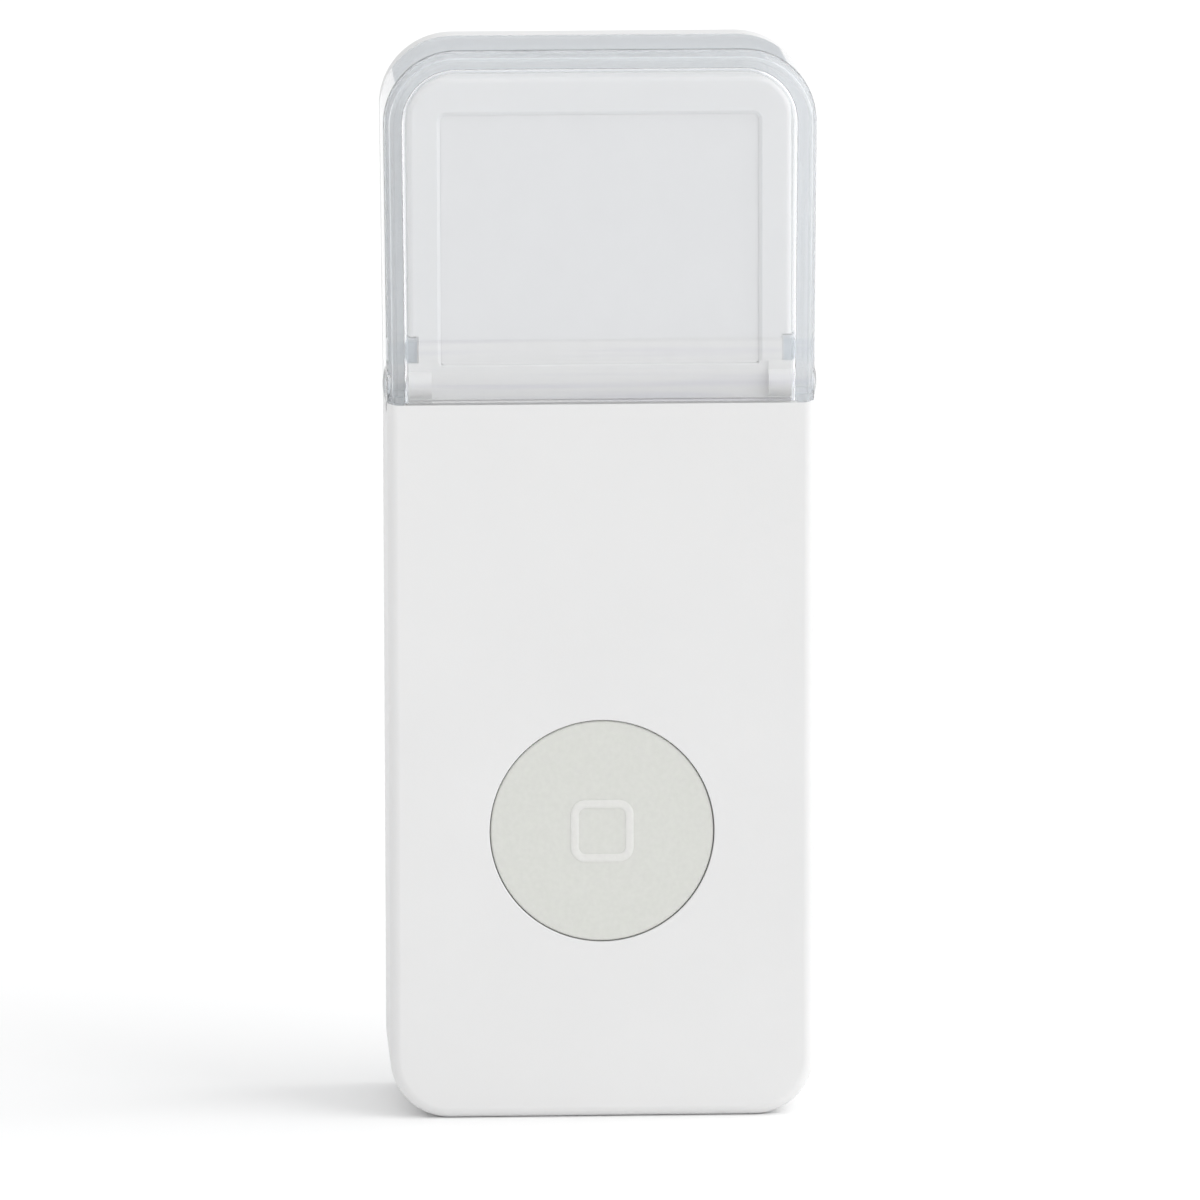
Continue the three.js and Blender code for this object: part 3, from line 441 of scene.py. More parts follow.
def glow_plastic(name, tone):
    """Photoluminescent plastic: milky greenish grey with fine mineral grains."""
    s = Shader(name, tone, 0.45)
    dark = tuple(c * 0.975 for c in tone)
    pale = tuple(c * 1.02 for c in tone)
    s.colour(s.noise(0.4, 3), dark, pale)
    s.roughness(s.noise(1.2, 4), 0.42, 0.52)
    s.bump(s.noise(0.18, 2), 0.004, 0.4)
    s.set("Subsurface Weight", 0.15)
    s.set("Subsurface Radius", (0.8, 1.0, 0.7))
    s.set("Subsurface Scale", 0.001)
    return s.material


def clear_plastic():
    """Polished clear acrylic. Lamps and bounced light pass it unbent, so that what it covers is lit."""
    s = Shader("clear_acrylic", (1.0, 1.0, 1.0), 0.015)
    s.set("Transmission Weight", 0.95)
    s.set("IOR", 1.49)
    s.roughness(s.noise(3, 3), 0.0, 0.02)
    s.bump(s.noise(9, 1), 0.001, 0.15)
    s.bump(s.noise(0.35, 1, (1, 1, 0.02)), 0.004, 0.5)
    # Painted reflection and shade: darker, bluish horizontal streaks in the colour of the lid's low band, below
    # the catches, for the stripes that reflections and the shaded trough behind make there
    painted_reflection_streaks = s.ramp(s.noise(0.5, 2, (0.02, 0.1, 1)), (0.935, 0.93, 0.965), (1, 1, 1), 0.38, 0.5)
    split = s.node("ShaderNodeSeparateXYZ")
    s.link(s.place, split.inputs["Vector"])
    across = s.math("ABSOLUTE", split.outputs["X"])
    up = split.outputs["Z"]
    catch_low, catch_high = CATCH_Z - CATCH_HALF_HEIGHT, CATCH_Z + CATCH_HALF_HEIGHT
    upper = s.math("GREATER_THAN", up, catch_high * MM)
    tint = s.mix(upper, painted_reflection_streaks, (0.985, 0.99, 1.0, 1))
    # The ears and the catches are thick; a cooler, darker tint is painted on them, as painted shade for the shaded
    # hollows seen through them
    in_wall = s.math("GREATER_THAN", across, PIN_ROOT_X * MM)
    ear = s.math("MULTIPLY", in_wall, s.math("LESS_THAN", up, (HINGE_Z + 0.4) * MM))
    past_tip = s.math("GREATER_THAN", across, CATCH_TIP_X * MM)
    below_top = s.math("LESS_THAN", up, catch_high * MM)
    level = s.math("MULTIPLY", s.math("GREATER_THAN", up, catch_low * MM), below_top)
    catch = s.math("MULTIPLY", past_tip, level)
    forward = s.math("LESS_THAN", split.outputs["Y"], (HINGE_Y + EAR_RADIUS) * MM)
    painted_shade_zone = s.math("MULTIPLY", s.math("MAXIMUM", ear, catch), forward)
    s.link(s.mix(painted_shade_zone, tint, (0.9, 0.925, 0.95, 1)), s.surface.inputs["Base Color"])
    depth = s.node("ShaderNodeVolumeAbsorption")
    depth.inputs["Color"].default_value = (0.72, 0.88, 1.0, 1)
    depth.inputs["Density"].default_value = 14.0
    s.link(depth.outputs["Volume"], s.output.inputs["Volume"])
    passed = s.node("ShaderNodeBsdfTransparent")
    passed.inputs["Color"].default_value = (0.945, 0.945, 0.945, 1)
    path = s.node("ShaderNodeLightPath")
    last = s.surface.outputs["BSDF"]
    for ray in ("Is Diffuse Ray", "Is Shadow Ray"):
        mix = s.node("ShaderNodeMixShader")
        s.link(path.outputs[ray], mix.inputs["Fac"])
        s.link(last, mix.inputs[1])
        s.link(passed.outputs["BSDF"], mix.inputs[2])
        last = mix.outputs["Shader"]
    s.link(last, s.output.inputs["Surface"])
    return s.material


def card_paper():
    """Plain uncoated card: soft fibres, no shine."""
    s = Shader("card_paper", (0.723, 0.721, 0.722), 0.9)
    s.colour(s.noise(0.8, 5, (1, 1, 0.4)), (0.714, 0.712, 0.713), (0.732, 0.73, 0.731))
    s.bump(s.noise(0.3, 4, (1, 1, 0.35)), 0.005, 0.3)
    s.set("Specular IOR Level", 0.2)
    return s.material


def rubber(name, colour):
    """Moulded rubber with a dusty bloom."""
    s = Shader(name, colour, 0.8)
    pale = tuple(min(1.0, c * 1.25 + 0.01) for c in colour)
    s.colour(s.noise(1.5, 4), colour, pale)
    s.bump(s.noise(0.15, 2), 0.01, 0.5)
    return s.material


def moulded(name, colour, roughness=0.5):
    """Dark or clear technical plastic with a moulded skin."""
    s = Shader(name, colour, roughness)
    pale = tuple(min(1.0, c * 1.2 + 0.004) for c in colour)
    s.colour(s.noise(0.8, 3), colour, pale)
    s.roughness(s.noise(0.5, 3), roughness - 0.06, roughness + 0.08)
    s.bump(s.noise(0.12, 2), 0.004, 0.5)
    return s.material


def metal(name, colour, roughness):
    """Plated or drawn metal with a fine directional grain."""
    s = Shader(name, colour, roughness, 1.0)
    grain = (1, 1, 12)
    dark = tuple(c * 0.9 for c in colour)
    s.colour(s.noise(0.5, 4, grain), dark, colour)
    s.roughness(s.noise(0.3, 4, grain), roughness - 0.07, roughness + 0.12)
    s.bump(s.noise(0.08, 3, grain), 0.002, 0.4)
    return s.material


def board_green():
    """Solder mask over glass fibre: the weave shows faintly through the green."""
    s = Shader("solder_mask", (0.02, 0.17, 0.07), 0.35)
    weave = s.node("ShaderNodeTexChecker")
    weave.inputs["Scale"].default_value = 1 / (0.5 * MM)
    s.link(s.place, weave.inputs["Vector"])
    s.colour(s.noise(2, 3), (0.015, 0.15, 0.06), (0.03, 0.2, 0.085))
    s.bump(weave.outputs["Fac"], 0.003, 0.3)
    s.set("Coat Weight", 0.4)
    return s.material


def pad_foam():
    """White foam tape: fine cells on its edge under a smooth liner."""
    s = Shader("foam_tape", (0.76, 0.75, 0.72), 0.7)
    s.colour(s.noise(0.6, 4), (0.73, 0.72, 0.69), (0.79, 0.78, 0.75))
    s.roughness(s.noise(2, 3), 0.55, 0.75)
    s.bump(s.noise(0.25, 3), 0.02, 0.5)
    return s.material


def floor_white():
    """White studio paper with a faint tooth."""
    s = Shader("studio_paper", (0.955, 0.955, 0.955), 0.85)
    s.colour(s.noise(60, 2), (0.952, 0.952, 0.952), (0.958, 0.958, 0.958))
    s.bump(s.noise(0.8, 3), 0.01, 0.2)
    s.set("Specular IOR Level", 0.1)
    return s.material


WHITE = white_plastic("white_abs", 0.73, 0.22)
# Painted light: the rear cover gets a paler copy of the same white, set lighter so that it reads brighter where it
# is seen through the clear lid
WHITE_REAR = white_plastic("white_abs_rear", 0.76, 0.1)
GLOW = glow_plastic("glow_plastic", (0.635, 0.643, 0.608))
GLOW_PALE = glow_plastic("glow_plastic_pale", (0.722, 0.73, 0.694))
CLEAR = clear_plastic()
STEEL = metal("plated_steel", (0.62, 0.63, 0.64), 0.3)
SLOT_MATERIALS = {
    "white_housing": WHITE,
    "clear_lid": CLEAR,
    "glow_button": GLOW,
    "name_card": card_paper(),
    "steel": STEEL,
    "copper": metal("enamelled_copper", (0.72, 0.36, 0.18), 0.25),
    "black_plastic": moulded("black_plastic", (0.02, 0.02, 0.022)),
    "black_rubber": rubber("black_rubber", (0.025, 0.025, 0.027)),
    "silicone": rubber("milky_silicone", (0.62, 0.62, 0.6)),
    "board": board_green(),
    "ceramic_chip": moulded("fired_ceramic", (0.42, 0.31, 0.19), 0.6),
    "led_lens": moulded("led_resin", (0.82, 0.81, 0.66), 0.2),
    "pad_foam": pad_foam(),
}

# ---- Shell outlines ----------------------------------------------------------------------------
BODY_SIZE = {
    "half": HALF,
    "bottom": 0.0,
    "top": HEIGHT,
    "corner_bottom": CORNER_BOTTOM,
    "corner_top": CORNER_TOP,
}
COVER_SIZE = {**BODY_SIZE, "half_top": HALF + FLARE, "knee": LID_FOOT}
LID_SIZE = {**COVER_SIZE, "top": LID_TOP}
TOWER_SIZE = {
    "half": TOWER_HALF,
    "bottom": LID_FOOT - 8,
    "top": TOWER_TOP,
    "corner_bottom": 0.1,
    "corner_top": TOWER_CORNER,
}
LIP_Y = FRONT + LIP_RADIUS
LIP_CENTRE_Z = HINGE_Z - math.sqrt((TROUGH_RADIUS + LIP_RADIUS) ** 2 - (HINGE_Y - LIP_Y) ** 2)
SEAM_CHAMFER = 0.12


def bottle(inset):
    """The outline of the housing's rear edge: the body below, the narrower tower above."""
    low, high = CORNER_BOTTOM - inset, TOWER_CORNER - inset
    body, tower = HALF - inset, TOWER_HALF - inset
    shoulder, top = SHOULDER_Z - inset, TOWER_TOP - inset
    points = arc(body - low, inset + low, low, -90, 0, CORNER_STEPS)
    points += [(body, shoulder), (tower, shoulder)]
    points += arc(tower - high, top - high, high, 0, 90, CORNER_STEPS)
    points += arc(-(tower - high), top - high, high, 90, 180, CORNER_STEPS)
    points += [(-tower, shoulder), (-body, shoulder)]
    points += arc(-(body - low), inset + low, low, 180, 270, CORNER_STEPS)
    return points


def opened(y, z):
    """Where a point of the closed lid is when the lid is fully open, as (y, z) from the hinge."""
    y, z = y - HINGE_Y, z - HINGE_Z
    cos, sin = math.cos(LID_OPEN), math.sin(LID_OPEN)
    return y * cos - z * sin, y * sin + z * cos


def foot_trough():
    """The trough that the lid's foot swings through, up to the relief in the tower's front."""
    tangent = math.degrees(math.atan2(HINGE_Z - LIP_CENTRE_Z, HINGE_Y - LIP_Y))
    start = math.degrees(math.atan2(LIP_CENTRE_Z - HINGE_Z, LIP_Y - HINGE_Y))
    low_y, low_z = opened(FRONT, LID_FOOT)
    high_y, high_z = opened(LID_INNER_FRONT, LID_FOOT)
    length = math.hypot(high_y - low_y, high_z - low_z)
    shift_y = SWING_GAP * (high_z - low_z) / length
    shift_z = -SWING_GAP * (high_y - low_y) / length
    end = math.degrees(math.atan2(low_z + shift_z, low_y + shift_y))
    back = high_y + shift_y
    foot_start = -math.degrees(math.acos(back / TOWER_FOOT_RADIUS))
    foot_end = -math.degrees(math.acos((RELIEF_Y - HINGE_Y) / TOWER_FOOT_RADIUS))
    points = [(FRONT - 1, LIP_CENTRE_Z)]
    points += arc(LIP_Y, LIP_CENTRE_Z, LIP_RADIUS, 180, tangent, EDGE_STEPS)
    points += arc(HINGE_Y, HINGE_Z, TROUGH_RADIUS, start, end, TROUGH_STEPS)[1:]
    points.append((HINGE_Y + back, HINGE_Z + high_z + shift_z))
    points += arc(HINGE_Y, HINGE_Z, TOWER_FOOT_RADIUS, foot_start, foot_end, EDGE_STEPS)
    points += [(RELIEF_Y, RELIEF_TOP), (TOWER_FRONT - 0.01, RELIEF_TOP + RELIEF_RISE)]
    points += [(FRONT - 1, RELIEF_TOP + RELIEF_RISE)]
    return prism("trough", points, -TOWER_HALF - 0.01, TOWER_HALF + 0.01, "X")


def corner_disc(name, side, start, end, gap):
    """A disc about the hinge that follows the lid's rounded front corner as it swings, with a gap."""
    edge = HALF - LID_FILLET
    last = math.asin(min(1, (end - edge) / LID_FILLET))
    profile = [(0, start), (FOOT_RADIUS + gap, start)]
    steps = 14
    for i in range(steps + 1):
        angle = last * i / steps
        recede = LID_FILLET * (1 - math.cos(angle))
        radius = math.hypot(FRONT + recede - HINGE_Y, LID_FOOT - HINGE_Z) + gap
        profile.append((radius, edge + LID_FILLET * math.sin(angle)))
    if end > HALF:
        profile.append((profile[-1][0], end))
    profile.append((0, end))
    disc = lathe(name, profile)
    turn = Matrix.Rotation(-side * math.pi / 2, 4, "Z")
    disc.data.transform(Matrix.Translation((0, HINGE_Y, HINGE_Z)) @ turn)
    return disc


def opened_front():
    """The low part of the lid's front wall when the lid is fully open, a little enlarged."""
    front = [(y, inset - OPEN_GAP) for y, inset in rounded_edge(FRONT - OPEN_GAP, LID_FILLET, 1, 10)]
    wall = loft("opened_front", LID_SIZE, front + [(LID_INNER_FRONT, -OPEN_GAP)])
    keep(wall, block("low", (-HALF - 1, HALF + 1), (FRONT - 1, SEAM_Y), (LID_FOOT, LID_FOOT + 4)))
    hinge = Matrix.Translation((0, HINGE_Y, HINGE_Z))
    wall.data.transform(hinge @ Matrix.Rotation(LID_OPEN, 4, "X") @ hinge.inverted())
    return wall


def knuckle(x):
    """A knuckle of the hinge: round about the pins, with a web that runs up the tower's front."""
    web = TOWER_FRONT + 2 * STEP - HINGE_Y
    start = math.degrees(math.acos(web / KNUCKLE_RADIUS))
    points = arc(HINGE_Y, HINGE_Z, KNUCKLE_RADIUS, start, 450, ROUND)
    points += [(HINGE_Y, RELIEF_TOP + WEB_RISE), (HINGE_Y + web, RELIEF_TOP + WEB_RISE)]
    return prism("knuckle", points, x[0], x[1], "X")


def span(side, a, b):
    """A (low, high) pair along X on one side of the middle, from two distances."""
    return sorted((side * a, side * b))


# ---- White shells ------------------------------------------------------------------------------


def front_shell():
    seam = [(HOUSING_REAR - SEAM_CHAMFER, 0), (HOUSING_REAR, SEAM_CHAMFER)]
    body = loft("front_shell", BODY_SIZE, rounded_edge(FRONT, FRONT_FILLET, 1) + seam)
    keep(body, block("below", (-HALF - 1, HALF + 1), (FRONT - 1, SEAM_Y), (-1, SHOULDER_Z)))
    tower = loft("tower", TOWER_SIZE, rounded_edge(TOWER_FRONT, TOWER_FILLET, 1) + seam)
    join(body, tower)

    inner_front = FRONT + FRONT_WALL
    trough_bottom = HINGE_Z - TROUGH_RADIUS - TROUGH_WALL
    lower = prism("lower", bottle(WALL), inner_front, SEAM_Y)
    keep(lower, block("limit", (-HALF, HALF), (inner_front - 1, SEAM_Y + 1), (0, trough_bottom)))
    upper = prism("upper", bottle(WALL), TOWER_FRONT + TOWER_WALL, SEAM_Y)
    keep(upper, block("limit", (-HALF, HALF), (FRONT, SEAM_Y + 1), (TOWER_CAVITY_BOTTOM, HEIGHT)))
    passage_x = (-PASSAGE_HALF, PASSAGE_HALF)
    passage = block("passage", passage_x, (PASSAGE_FRONT, SEAM_Y), (trough_bottom - 1, PASSAGE_TOP))
    cut(body, lower, upper, passage, foot_trough())

    hole = [(0, FRONT - 1), (BUTTON_HOLE + BUTTON_RIM, FRONT - 1)]
    for i in range(5):
        angle = math.pi / 2 * i / 4
        radius = BUTTON_HOLE + BUTTON_RIM * (1 - math.sin(angle))
        hole.append((radius, FRONT + BUTTON_RIM * (1 - math.cos(angle))))
    hole += [(BUTTON_HOLE, inner_front + 1), (0, inner_front + 1)]
    cut(body, lathe("hole", hole, 0, BUTTON_Z))

    recess = {
        "half": CARD_HALF,
        "bottom": CARD_BOTTOM,
        "top": CARD_TOP,
        "corner_bottom": 0.1,
        "corner_top": 0.5,
    }
    card_face = box_mm("name_card")[0].y
    stations = [(TOWER_FRONT - 1, -CARD_SLOPE), (TOWER_FRONT, -CARD_SLOPE), (card_face, 0)]
    stations.append((TOWER_FRONT + CARD_RECESS, 0))
    cut(body, loft("recess", recess, stations))

    cut(body, opened_front())
    for side in (-1, 1):
        seat_start = TOWER_HALF - STEP
        cut(body, corner_disc("seat", side, seat_start, HALF + 1, TROUGH_RADIUS - FOOT_RADIUS))
        join(body, knuckle(span(side, KNUCKLE_X, TOWER_HALF - 2 * STEP)))
        reach = CATCH_HALF_HEIGHT + CATCH_CLEARANCE
        notch_x = span(side, CATCH_TIP_X - CATCH_CLEARANCE, TOWER_HALF + 1)
        notch_y = (TOWER_FRONT - 1, CATCH_Y[1] + CATCH_CLEARANCE)
        hole_x = span(side, PIN_TIP_X - PIN_CLEARANCE, TOWER_HALF + 1)
        pin_hole = rod_x("pin_hole", PIN_RADIUS + PIN_CLEARANCE, hole_x, HINGE_Y, HINGE_Z)
        cut(body, pin_hole, block("notch", notch_x, notch_y, (CATCH_Z - reach, CATCH_Z + reach)))
    return finish_piece(body, WHITE, "body", "white_housing", "front_housing")


def rear_hole(inside, seat, radius):
    """A stepped hole from the inside of the rear cover to a chamfered edge in its back, for a lathe."""
    hole = [(0, 0), (inside, 0), (inside, seat), (radius, seat)]
    hole += [(radius, COVER_BACK - REAR_RIM), (radius + REAR_RIM, COVER_BACK)]
    return hole + [(radius + REAR_RIM, COVER_BACK + 1), (0, COVER_BACK + 1)]


def rear_shell():
    stations = [(SEAM_Y, SEAM_CHAMFER), (SEAM_Y + SEAM_CHAMFER, 0)]
    stations += rounded_edge(COVER_BACK, BACK_FILLET, -1)[::-1]
    shell = loft("rear_shell", COVER_SIZE, stations)
    pocket_floor = COVER_BACK - BACK_WALL
    root = pocket_floor + 0.5
    cut(shell, prism("pocket", bottle(WALL), SEAM_Y - 1, pocket_floor))
    collar = [(0, COLLAR_FRONT), (COLLAR_RADIUS, COLLAR_FRONT), (COLLAR_RADIUS, root), (0, root)]
    join(shell, lathe("collar", collar, 0, CELL_Z))
    for x, z in CASE_SCREWS:
        boss = [(0, SEAM_Y), (SCREW_BOSS, SEAM_Y), (SCREW_BOSS, root), (0, root)]
        join(shell, lathe("boss", boss, x, z, SMALL_ROUND))
    door = rear_hole(DOOR_OPENING, COVER_BACK - FLANGE_DEPTH - 0.1, DOOR_RADIUS + DOOR_GAP)
    cut(shell, lathe("door_hole", door, 0, CELL_Z))
    for x, z in CASE_SCREWS:
        hole = rear_hole(SCREW_HOLE, COVER_BACK - SCREW_SEAT, SCREW_HEAD + 0.25)
        cut(shell, lathe("screw_hole", hole, x, z, SMALL_ROUND))
    for node in PADS:
        low, high = box_mm(node)
        well = {
            "half": high.x + PAD_GAP,
            "bottom": low.z - PAD_GAP,
            "top": high.z + PAD_GAP,
            "corner_bottom": 1.0,
            "corner_top": 1.0,
        }
        cut(shell, loft("well", well, [(COVER_BACK - PAD_WELL, 0), (COVER_BACK + 1, 0)]))
    return finish_piece(shell, WHITE_REAR, "body", "white_housing", "rear_cover")


# ---- Clear lid ---------------------------------------------------------------------------------


def clear_lid():
    lid = loft("lid_clear", LID_SIZE, rounded_edge(FRONT, LID_FILLET, 1, 10) + [(LID_REAR, 0)])
    inside_size = {
        "half": HALF - LID_SIDE_WALL,
        "half_top": HALF + FLARE - LID_SIDE_WALL,
        "bottom": LID_FOOT - 8,
        "top": LID_TOP - LID_FRONT_WALL,
        "corner_bottom": 0.1,
        "corner_top": CORNER_TOP - LID_SIDE_WALL,
        "knee": LID_FOOT,
    }
    inner_fillet = 0.4
    inner_front = rounded_edge(LID_INNER_FRONT, inner_fillet, 1, 5)
    cut(lid, loft("inside", inside_size, inner_front + [(SEAM_Y + 1, 0)]))
    keep(lid, block("above", (-HALF - 1, HALF + 1), (FRONT - 1, SEAM_Y), (LID_FOOT, HEIGHT + 1)))
    swing = rod_x("swing", LID_REAR - HINGE_Y, (-HALF - 1, HALF + 1), HINGE_Y, HINGE_Z, 160)
    join(swing, block("top", (-HALF - 1, HALF + 1), (FRONT - 1, SEAM_Y), (HINGE_Z, HEIGHT + 2)))
    keep(lid, swing)

    rib_radius = (RIB_HALF_HEIGHT**2 + RIB_BULGE**2) / (2 * RIB_BULGE)
    rib_angle = math.degrees(math.asin(RIB_HALF_HEIGHT / rib_radius))
    overlap = 0.3  # how far what is joined to the walls reaches into them
    root_y = LID_INNER_FRONT - overlap
    rib = [(root_y, CATCH_Z + RIB_HALF_HEIGHT), (root_y, CATCH_Z - RIB_HALF_HEIGHT)]
    rib += arc(LID_INNER_FRONT + RIB_BULGE - rib_radius, CATCH_Z, rib_radius, -rib_angle, rib_angle, 14)
    join(lid, prism("rib", rib, -(HALF - 1), HALF - 1, "X"))

    ball = (BOSS_RADIUS**2 + BOSS_HEIGHT**2) / (2 * BOSS_HEIGHT)
    dome = []
    for i in range(9):
        angle = math.asin(BOSS_RADIUS / ball) * i / 8
        dome.append((ball * math.sin(angle), ball * (math.cos(angle) - 1) + BOSS_HEIGHT))
    dome += [(BOSS_RADIUS, -overlap), (0, -overlap)]
    catch_z = (CATCH_Z - CATCH_HALF_HEIGHT, CATCH_Z + CATCH_HALF_HEIGHT)
    for side in (-1, 1):
        ear_start = HALF - LID_SIDE_WALL + 0.1
        ear = corner_disc("ear", side, ear_start, EAR_REACH, EAR_RADIUS - FOOT_RADIUS)
        ear_z = (HINGE_Z - 8, LID_FOOT + overlap)
        keep(ear, block("ear_box", (-HALF, HALF), (FRONT + 0.2, SEAM_Y), ear_z))
        pin = rod_x("pin", PIN_RADIUS, span(side, PIN_TIP_X, LID_ROOT), HINGE_Y, HINGE_Z)
        root = rod_x("root", KNUCKLE_RADIUS, span(side, PIN_ROOT_X, LID_ROOT), HINGE_Y, HINGE_Z)
        catch = block("catch", span(side, CATCH_TIP_X, LID_ROOT), CATCH_Y, catch_z)
        boss = lathe("boss", dome, 0, 0, SMALL_ROUND)
        turn = Matrix.Rotation(-side * math.pi / 2, 4, "Z")
        boss.data.transform(Matrix.Translation((side * HALF, HINGE_Y, HINGE_Z)) @ turn)
        join(lid, ear, pin, root, catch, boss)
    return finish_piece(lid, CLEAR, "lid", "clear_lid", "clear_lid")


# ---- Button, card, door, screws, pads ----------------------------------------------------------


def button():
    post, post_end = 1.6, -4.65
    flange, flange_front, flange_back = 10.3, FRONT + 2.1, FRONT + 2.9
    profile = [(0, post_end), (post, post_end), (post, flange_back), (flange, flange_back)]
    profile += [(flange, flange_front), (BUTTON_RADIUS, flange_front)]
    for i in range(7):
        angle = math.pi / 2 * i / 6
        radius = BUTTON_RADIUS - BUTTON_EDGE * (1 - math.cos(angle))
        profile.append((radius, BUTTON_FACE + BUTTON_EDGE * (1 - math.sin(angle))))
    profile.append((0, BUTTON_FACE))
    disc = lathe("glow_button", profile, 0, BUTTON_Z)
    return finish_piece(disc, GLOW, "button", "glow_button", "button_cap", angle=24)


def button_outline():
    """The low rounded bead in the shape of a rounded square on the button's face."""
    corner = 0.9
    half = (ICON_SIZE - ICON_STROKE) / 2
    size = {
        "half": half,
        "bottom": BUTTON_Z - half,
        "top": BUTTON_Z + half,
        "corner_bottom": corner,
        "corner_top": corner,
    }
    width = ICON_STROKE / 2
    turns = [(math.cos(a), math.sin(a)) for a in (math.pi * i / 12 for i in range(13))]
    section = [(BUTTON_FACE + 0.05, width)]
    section += [(BUTTON_FACE - ICON_RISE * rise, width * along) for along, rise in turns]
    section.append((BUTTON_FACE + 0.05, -width))
    rings = [[(x, y, z) for x, z in rounded_outline(**size, inset=inset)] for y, inset in section]
    count = len(rings[0])
    faces = []
    for s in range(len(rings)):
        after = (s + 1) % len(rings) * count
        for i in range(count):
            j = (i + 1) % count
            faces.append([s * count + i, s * count + j, after + j, after + i])
    bead = new_object("button_outline", [p for ring in rings for p in ring], faces)
    return finish_piece(bead, GLOW_PALE, "button", "glow_button", angle=80)


def name_card():
    low, high = box_mm("name_card")
    size = {
        "half": CARD_HALF - CARD_GAP,
        "bottom": CARD_BOTTOM + CARD_GAP,
        "top": CARD_TOP - CARD_GAP,
        "corner_bottom": 0.3,
        "corner_top": 0.45,
    }
    card = loft("card", size, [(low.y + CARD_GAP, 0), (high.y, 0)])
    return finish_piece(card, SLOT_MATERIALS["name_card"], "body", "name_card", "name_card")


def battery_door():
    face = COVER_BACK - 0.1
    flange_front = COVER_BACK - FLANGE_DEPTH
    plug, plug_front = 12.1, 5.6
    rim_inside, rim_front = 11.3, 4.2
    profile = [(0, plug_front), (rim_inside, plug_front), (rim_inside, rim_front), (plug, rim_front)]
    profile += [(plug, flange_front), (DOOR_RADIUS, flange_front)]
    edge = 0.3
    for i in range(6):
        angle = math.pi / 2 * i / 5
        radius = DOOR_RADIUS - edge * (1 - math.cos(angle))
        profile.append((radius, face - edge * (1 - math.sin(angle))))
    groove, groove_floor = 9.2, face - 0.12
    profile += [(groove + 0.2, face), (groove + 0.1, groove_floor), (groove - 0.1, groove_floor)]
    profile += [(groove - 0.2, face), (0, face)]
    door = lathe("door", profile, 0, CELL_Z)
    slot_half, slot_end, slot_depth = 0.9, 6.5, 1
    slot = arc(slot_end - slot_half, CELL_Z, slot_half, -90, 90, 16)
    slot += arc(-(slot_end - slot_half), CELL_Z, slot_half, 90, 270, 16)
    dish_radius, dish_floor = 2.0, face - 0.7
    dish = [(0, dish_floor), (dish_radius, dish_floor), (dish_radius + 0.3, face + 1), (0, face + 1)]
    cut(door, lathe("dish", dish, 0, CELL_Z, SMALL_ROUND))
    cut(door, prism("slot", slot, face - slot_depth, COVER_BACK + 1))
    dot_radius, dot_floor, dot_offset = 0.4, face - 0.3, 11.6
    dot = [(0, dot_floor), (dot_radius, dot_floor), (dot_radius + 0.15, face + 1), (0, face + 1)]
    cut(door, lathe("dot", dot, 0, CELL_Z + dot_offset, 24))
    return finish_piece(door, WHITE, "door", "white_housing", "battery_door", bevel=0.06)


def screw_head(index, x, z):
    """A pan head with a cross recess and a plain shank."""
    top = COVER_BACK - 0.1
    tip, under_head, dome, shank = top - 9.8, top - 1.2, 0.45, 0.9
    profile = [(0, tip), (0.25, tip), (shank, tip + 1), (shank, under_head)]
    profile += [(SCREW_HEAD, under_head), (SCREW_HEAD, top - dome)]
    for i in range(7):
        angle = math.radians(15 + 75 * i / 6)
        profile.append((SCREW_HEAD * math.cos(angle), top - dome * (1 - math.sin(angle))))
    profile[-1] = (0, top)
    screw = lathe(f"screw_{index}", profile, x, z, SMALL_ROUND)
    long, short, recess = 1.05, 0.2, 0.7
    for half_x, half_z in ((long, short), (short, long)):
        bar_x, bar_z = (x - half_x, x + half_x), (z - half_z, z + half_z)
        cut(screw, block("cross", bar_x, (top - recess, top + 1), bar_z))
    return finish_piece(screw, STEEL, "body", "steel", f"case_screw_{index}", bevel=0.03)


def pad(node):
    """A foam pad with a liner on its back that stands in a little all round."""
    low, high = box_mm(node)
    liner, liner_inset = 0.12, 0.1
    size = {
        "half": high.x,
        "bottom": low.z,
        "top": high.z,
        "corner_bottom": 0.8,
        "corner_top": 0.8,
    }
    stations = [(low.y, 0), (high.y - liner, 0), (high.y - liner, liner_inset), (high.y, liner_inset)]
    piece = loft(node + "_foam", size, stations)
    return finish_piece(piece, SLOT_MATERIALS["pad_foam"], "body", "pad_foam", node)


front_shell()
rear_shell()
clear_lid()
button()
button_outline()
name_card()
battery_door()
for number, (screw_x, screw_z) in enumerate(CASE_SCREWS, 1):
    screw_head(number, screw_x, screw_z)
for pad_node in PADS:
    pad(pad_node)

for entry in frame["record"]["subparts"]:
    node = frame["nodes"][entry["node"]]
    node.data.materials.clear()
    node.data.materials.append(SLOT_MATERIALS[entry["material_slot"]])

# ---- Floor, light and camera -------------------------------------------------------------------
floor_half = 4000
floor = block("floor", (-floor_half, floor_half), (-10, 0), (-floor_half, floor_half))
floor.data.transform(Matrix.Scale(MM, 4) @ Matrix.Rotation(math.pi / 2, 4, "X"))
floor.data.materials.append(floor_white())


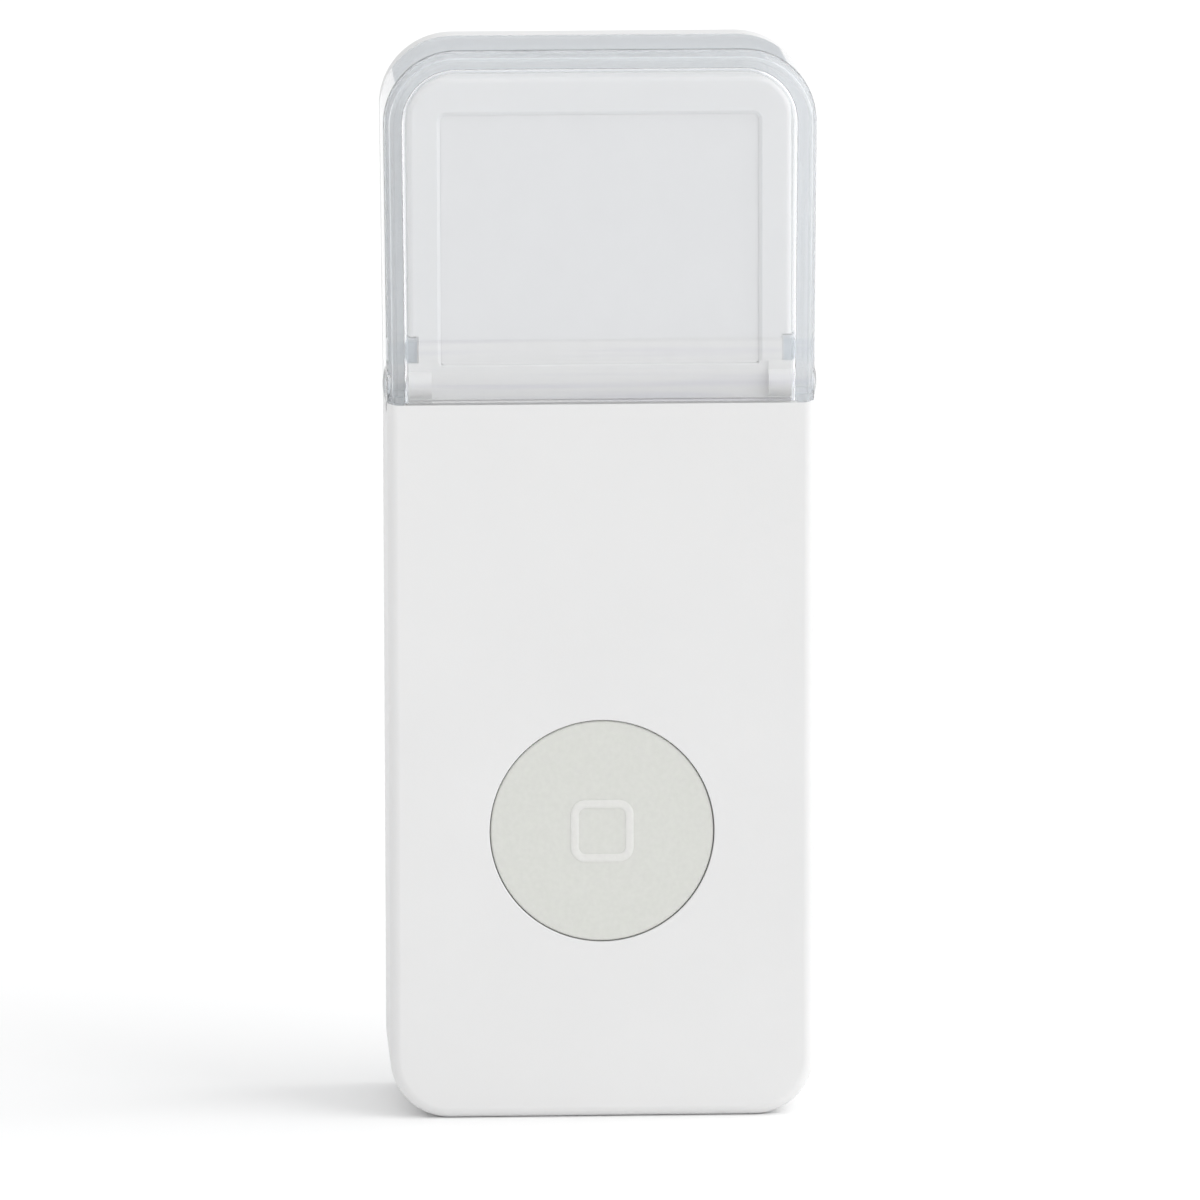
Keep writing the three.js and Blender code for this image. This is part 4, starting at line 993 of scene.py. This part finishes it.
KEY_AZIMUTH, KEY_ELEVATION = math.radians(74), math.radians(31)  # to the right of the front, and up
key_light = bpy.data.lights.new("key", "SUN")
key_light.energy = 1.6
key_light.angle = math.radians(70)
key = bpy.data.objects.new("key", key_light)
key.rotation_euler = (math.pi / 2 - KEY_ELEVATION, 0, KEY_AZIMUTH)
key.location = (0.6, -0.3, 0.6)
bpy.context.scene.collection.objects.link(key)

scene = bpy.context.scene
world = bpy.data.worlds.new("studio")
world.use_nodes = True
backdrop = world.node_tree.nodes["Background"]
backdrop.inputs["Strength"].default_value = 0.88
# White all round, and a little greyer and cooler low down behind the object
direction = world.node_tree.nodes.new("ShaderNodeTexCoord").outputs["Generated"]
spot = world.node_tree.nodes.new("ShaderNodeVectorMath")
spot.operation = "DISTANCE"
spot.inputs[1].default_value = (0, 1, 0.1)
world.node_tree.links.new(direction, spot.inputs[0])
fade = world.node_tree.nodes.new("ShaderNodeValToRGB")
fade.color_ramp.elements[0].position = 0.3
fade.color_ramp.elements[0].color = (0.74, 0.77, 0.8, 1)
fade.color_ramp.elements[1].position = 0.9
fade.color_ramp.elements[1].color = (1, 1, 1, 1)
world.node_tree.links.new(spot.outputs["Value"], fade.inputs["Fac"])
world.node_tree.links.new(fade.outputs["Color"], backdrop.inputs["Color"])
scene.world = world
scene.view_settings.view_transform = "Standard"
scene.cycles.max_bounces = 32
scene.cycles.transmission_bounces = 32
scene.cycles.transparent_max_bounces = 32

CAMERA_PLACE = Vector((-0.0394, -0.93968, 0.19337))
PITCH, YAW, ROLL = math.radians(9.1454), math.radians(2.4135), math.radians(-0.1326)
camera_data = bpy.data.cameras.new("camera")
camera_data.lens = 345.8
camera_data.sensor_width = 36
camera_data.clip_end = 50
camera = bpy.data.objects.new("camera", camera_data)
scene.collection.objects.link(camera)
camera.location = CAMERA_PLACE
aim = Matrix.Rotation(-YAW, 4, "Z") @ Matrix.Rotation(math.pi / 2 - PITCH, 4, "X")
camera.rotation_euler = (aim @ Matrix.Rotation(ROLL, 4, "Z")).to_euler()
scene.camera = camera
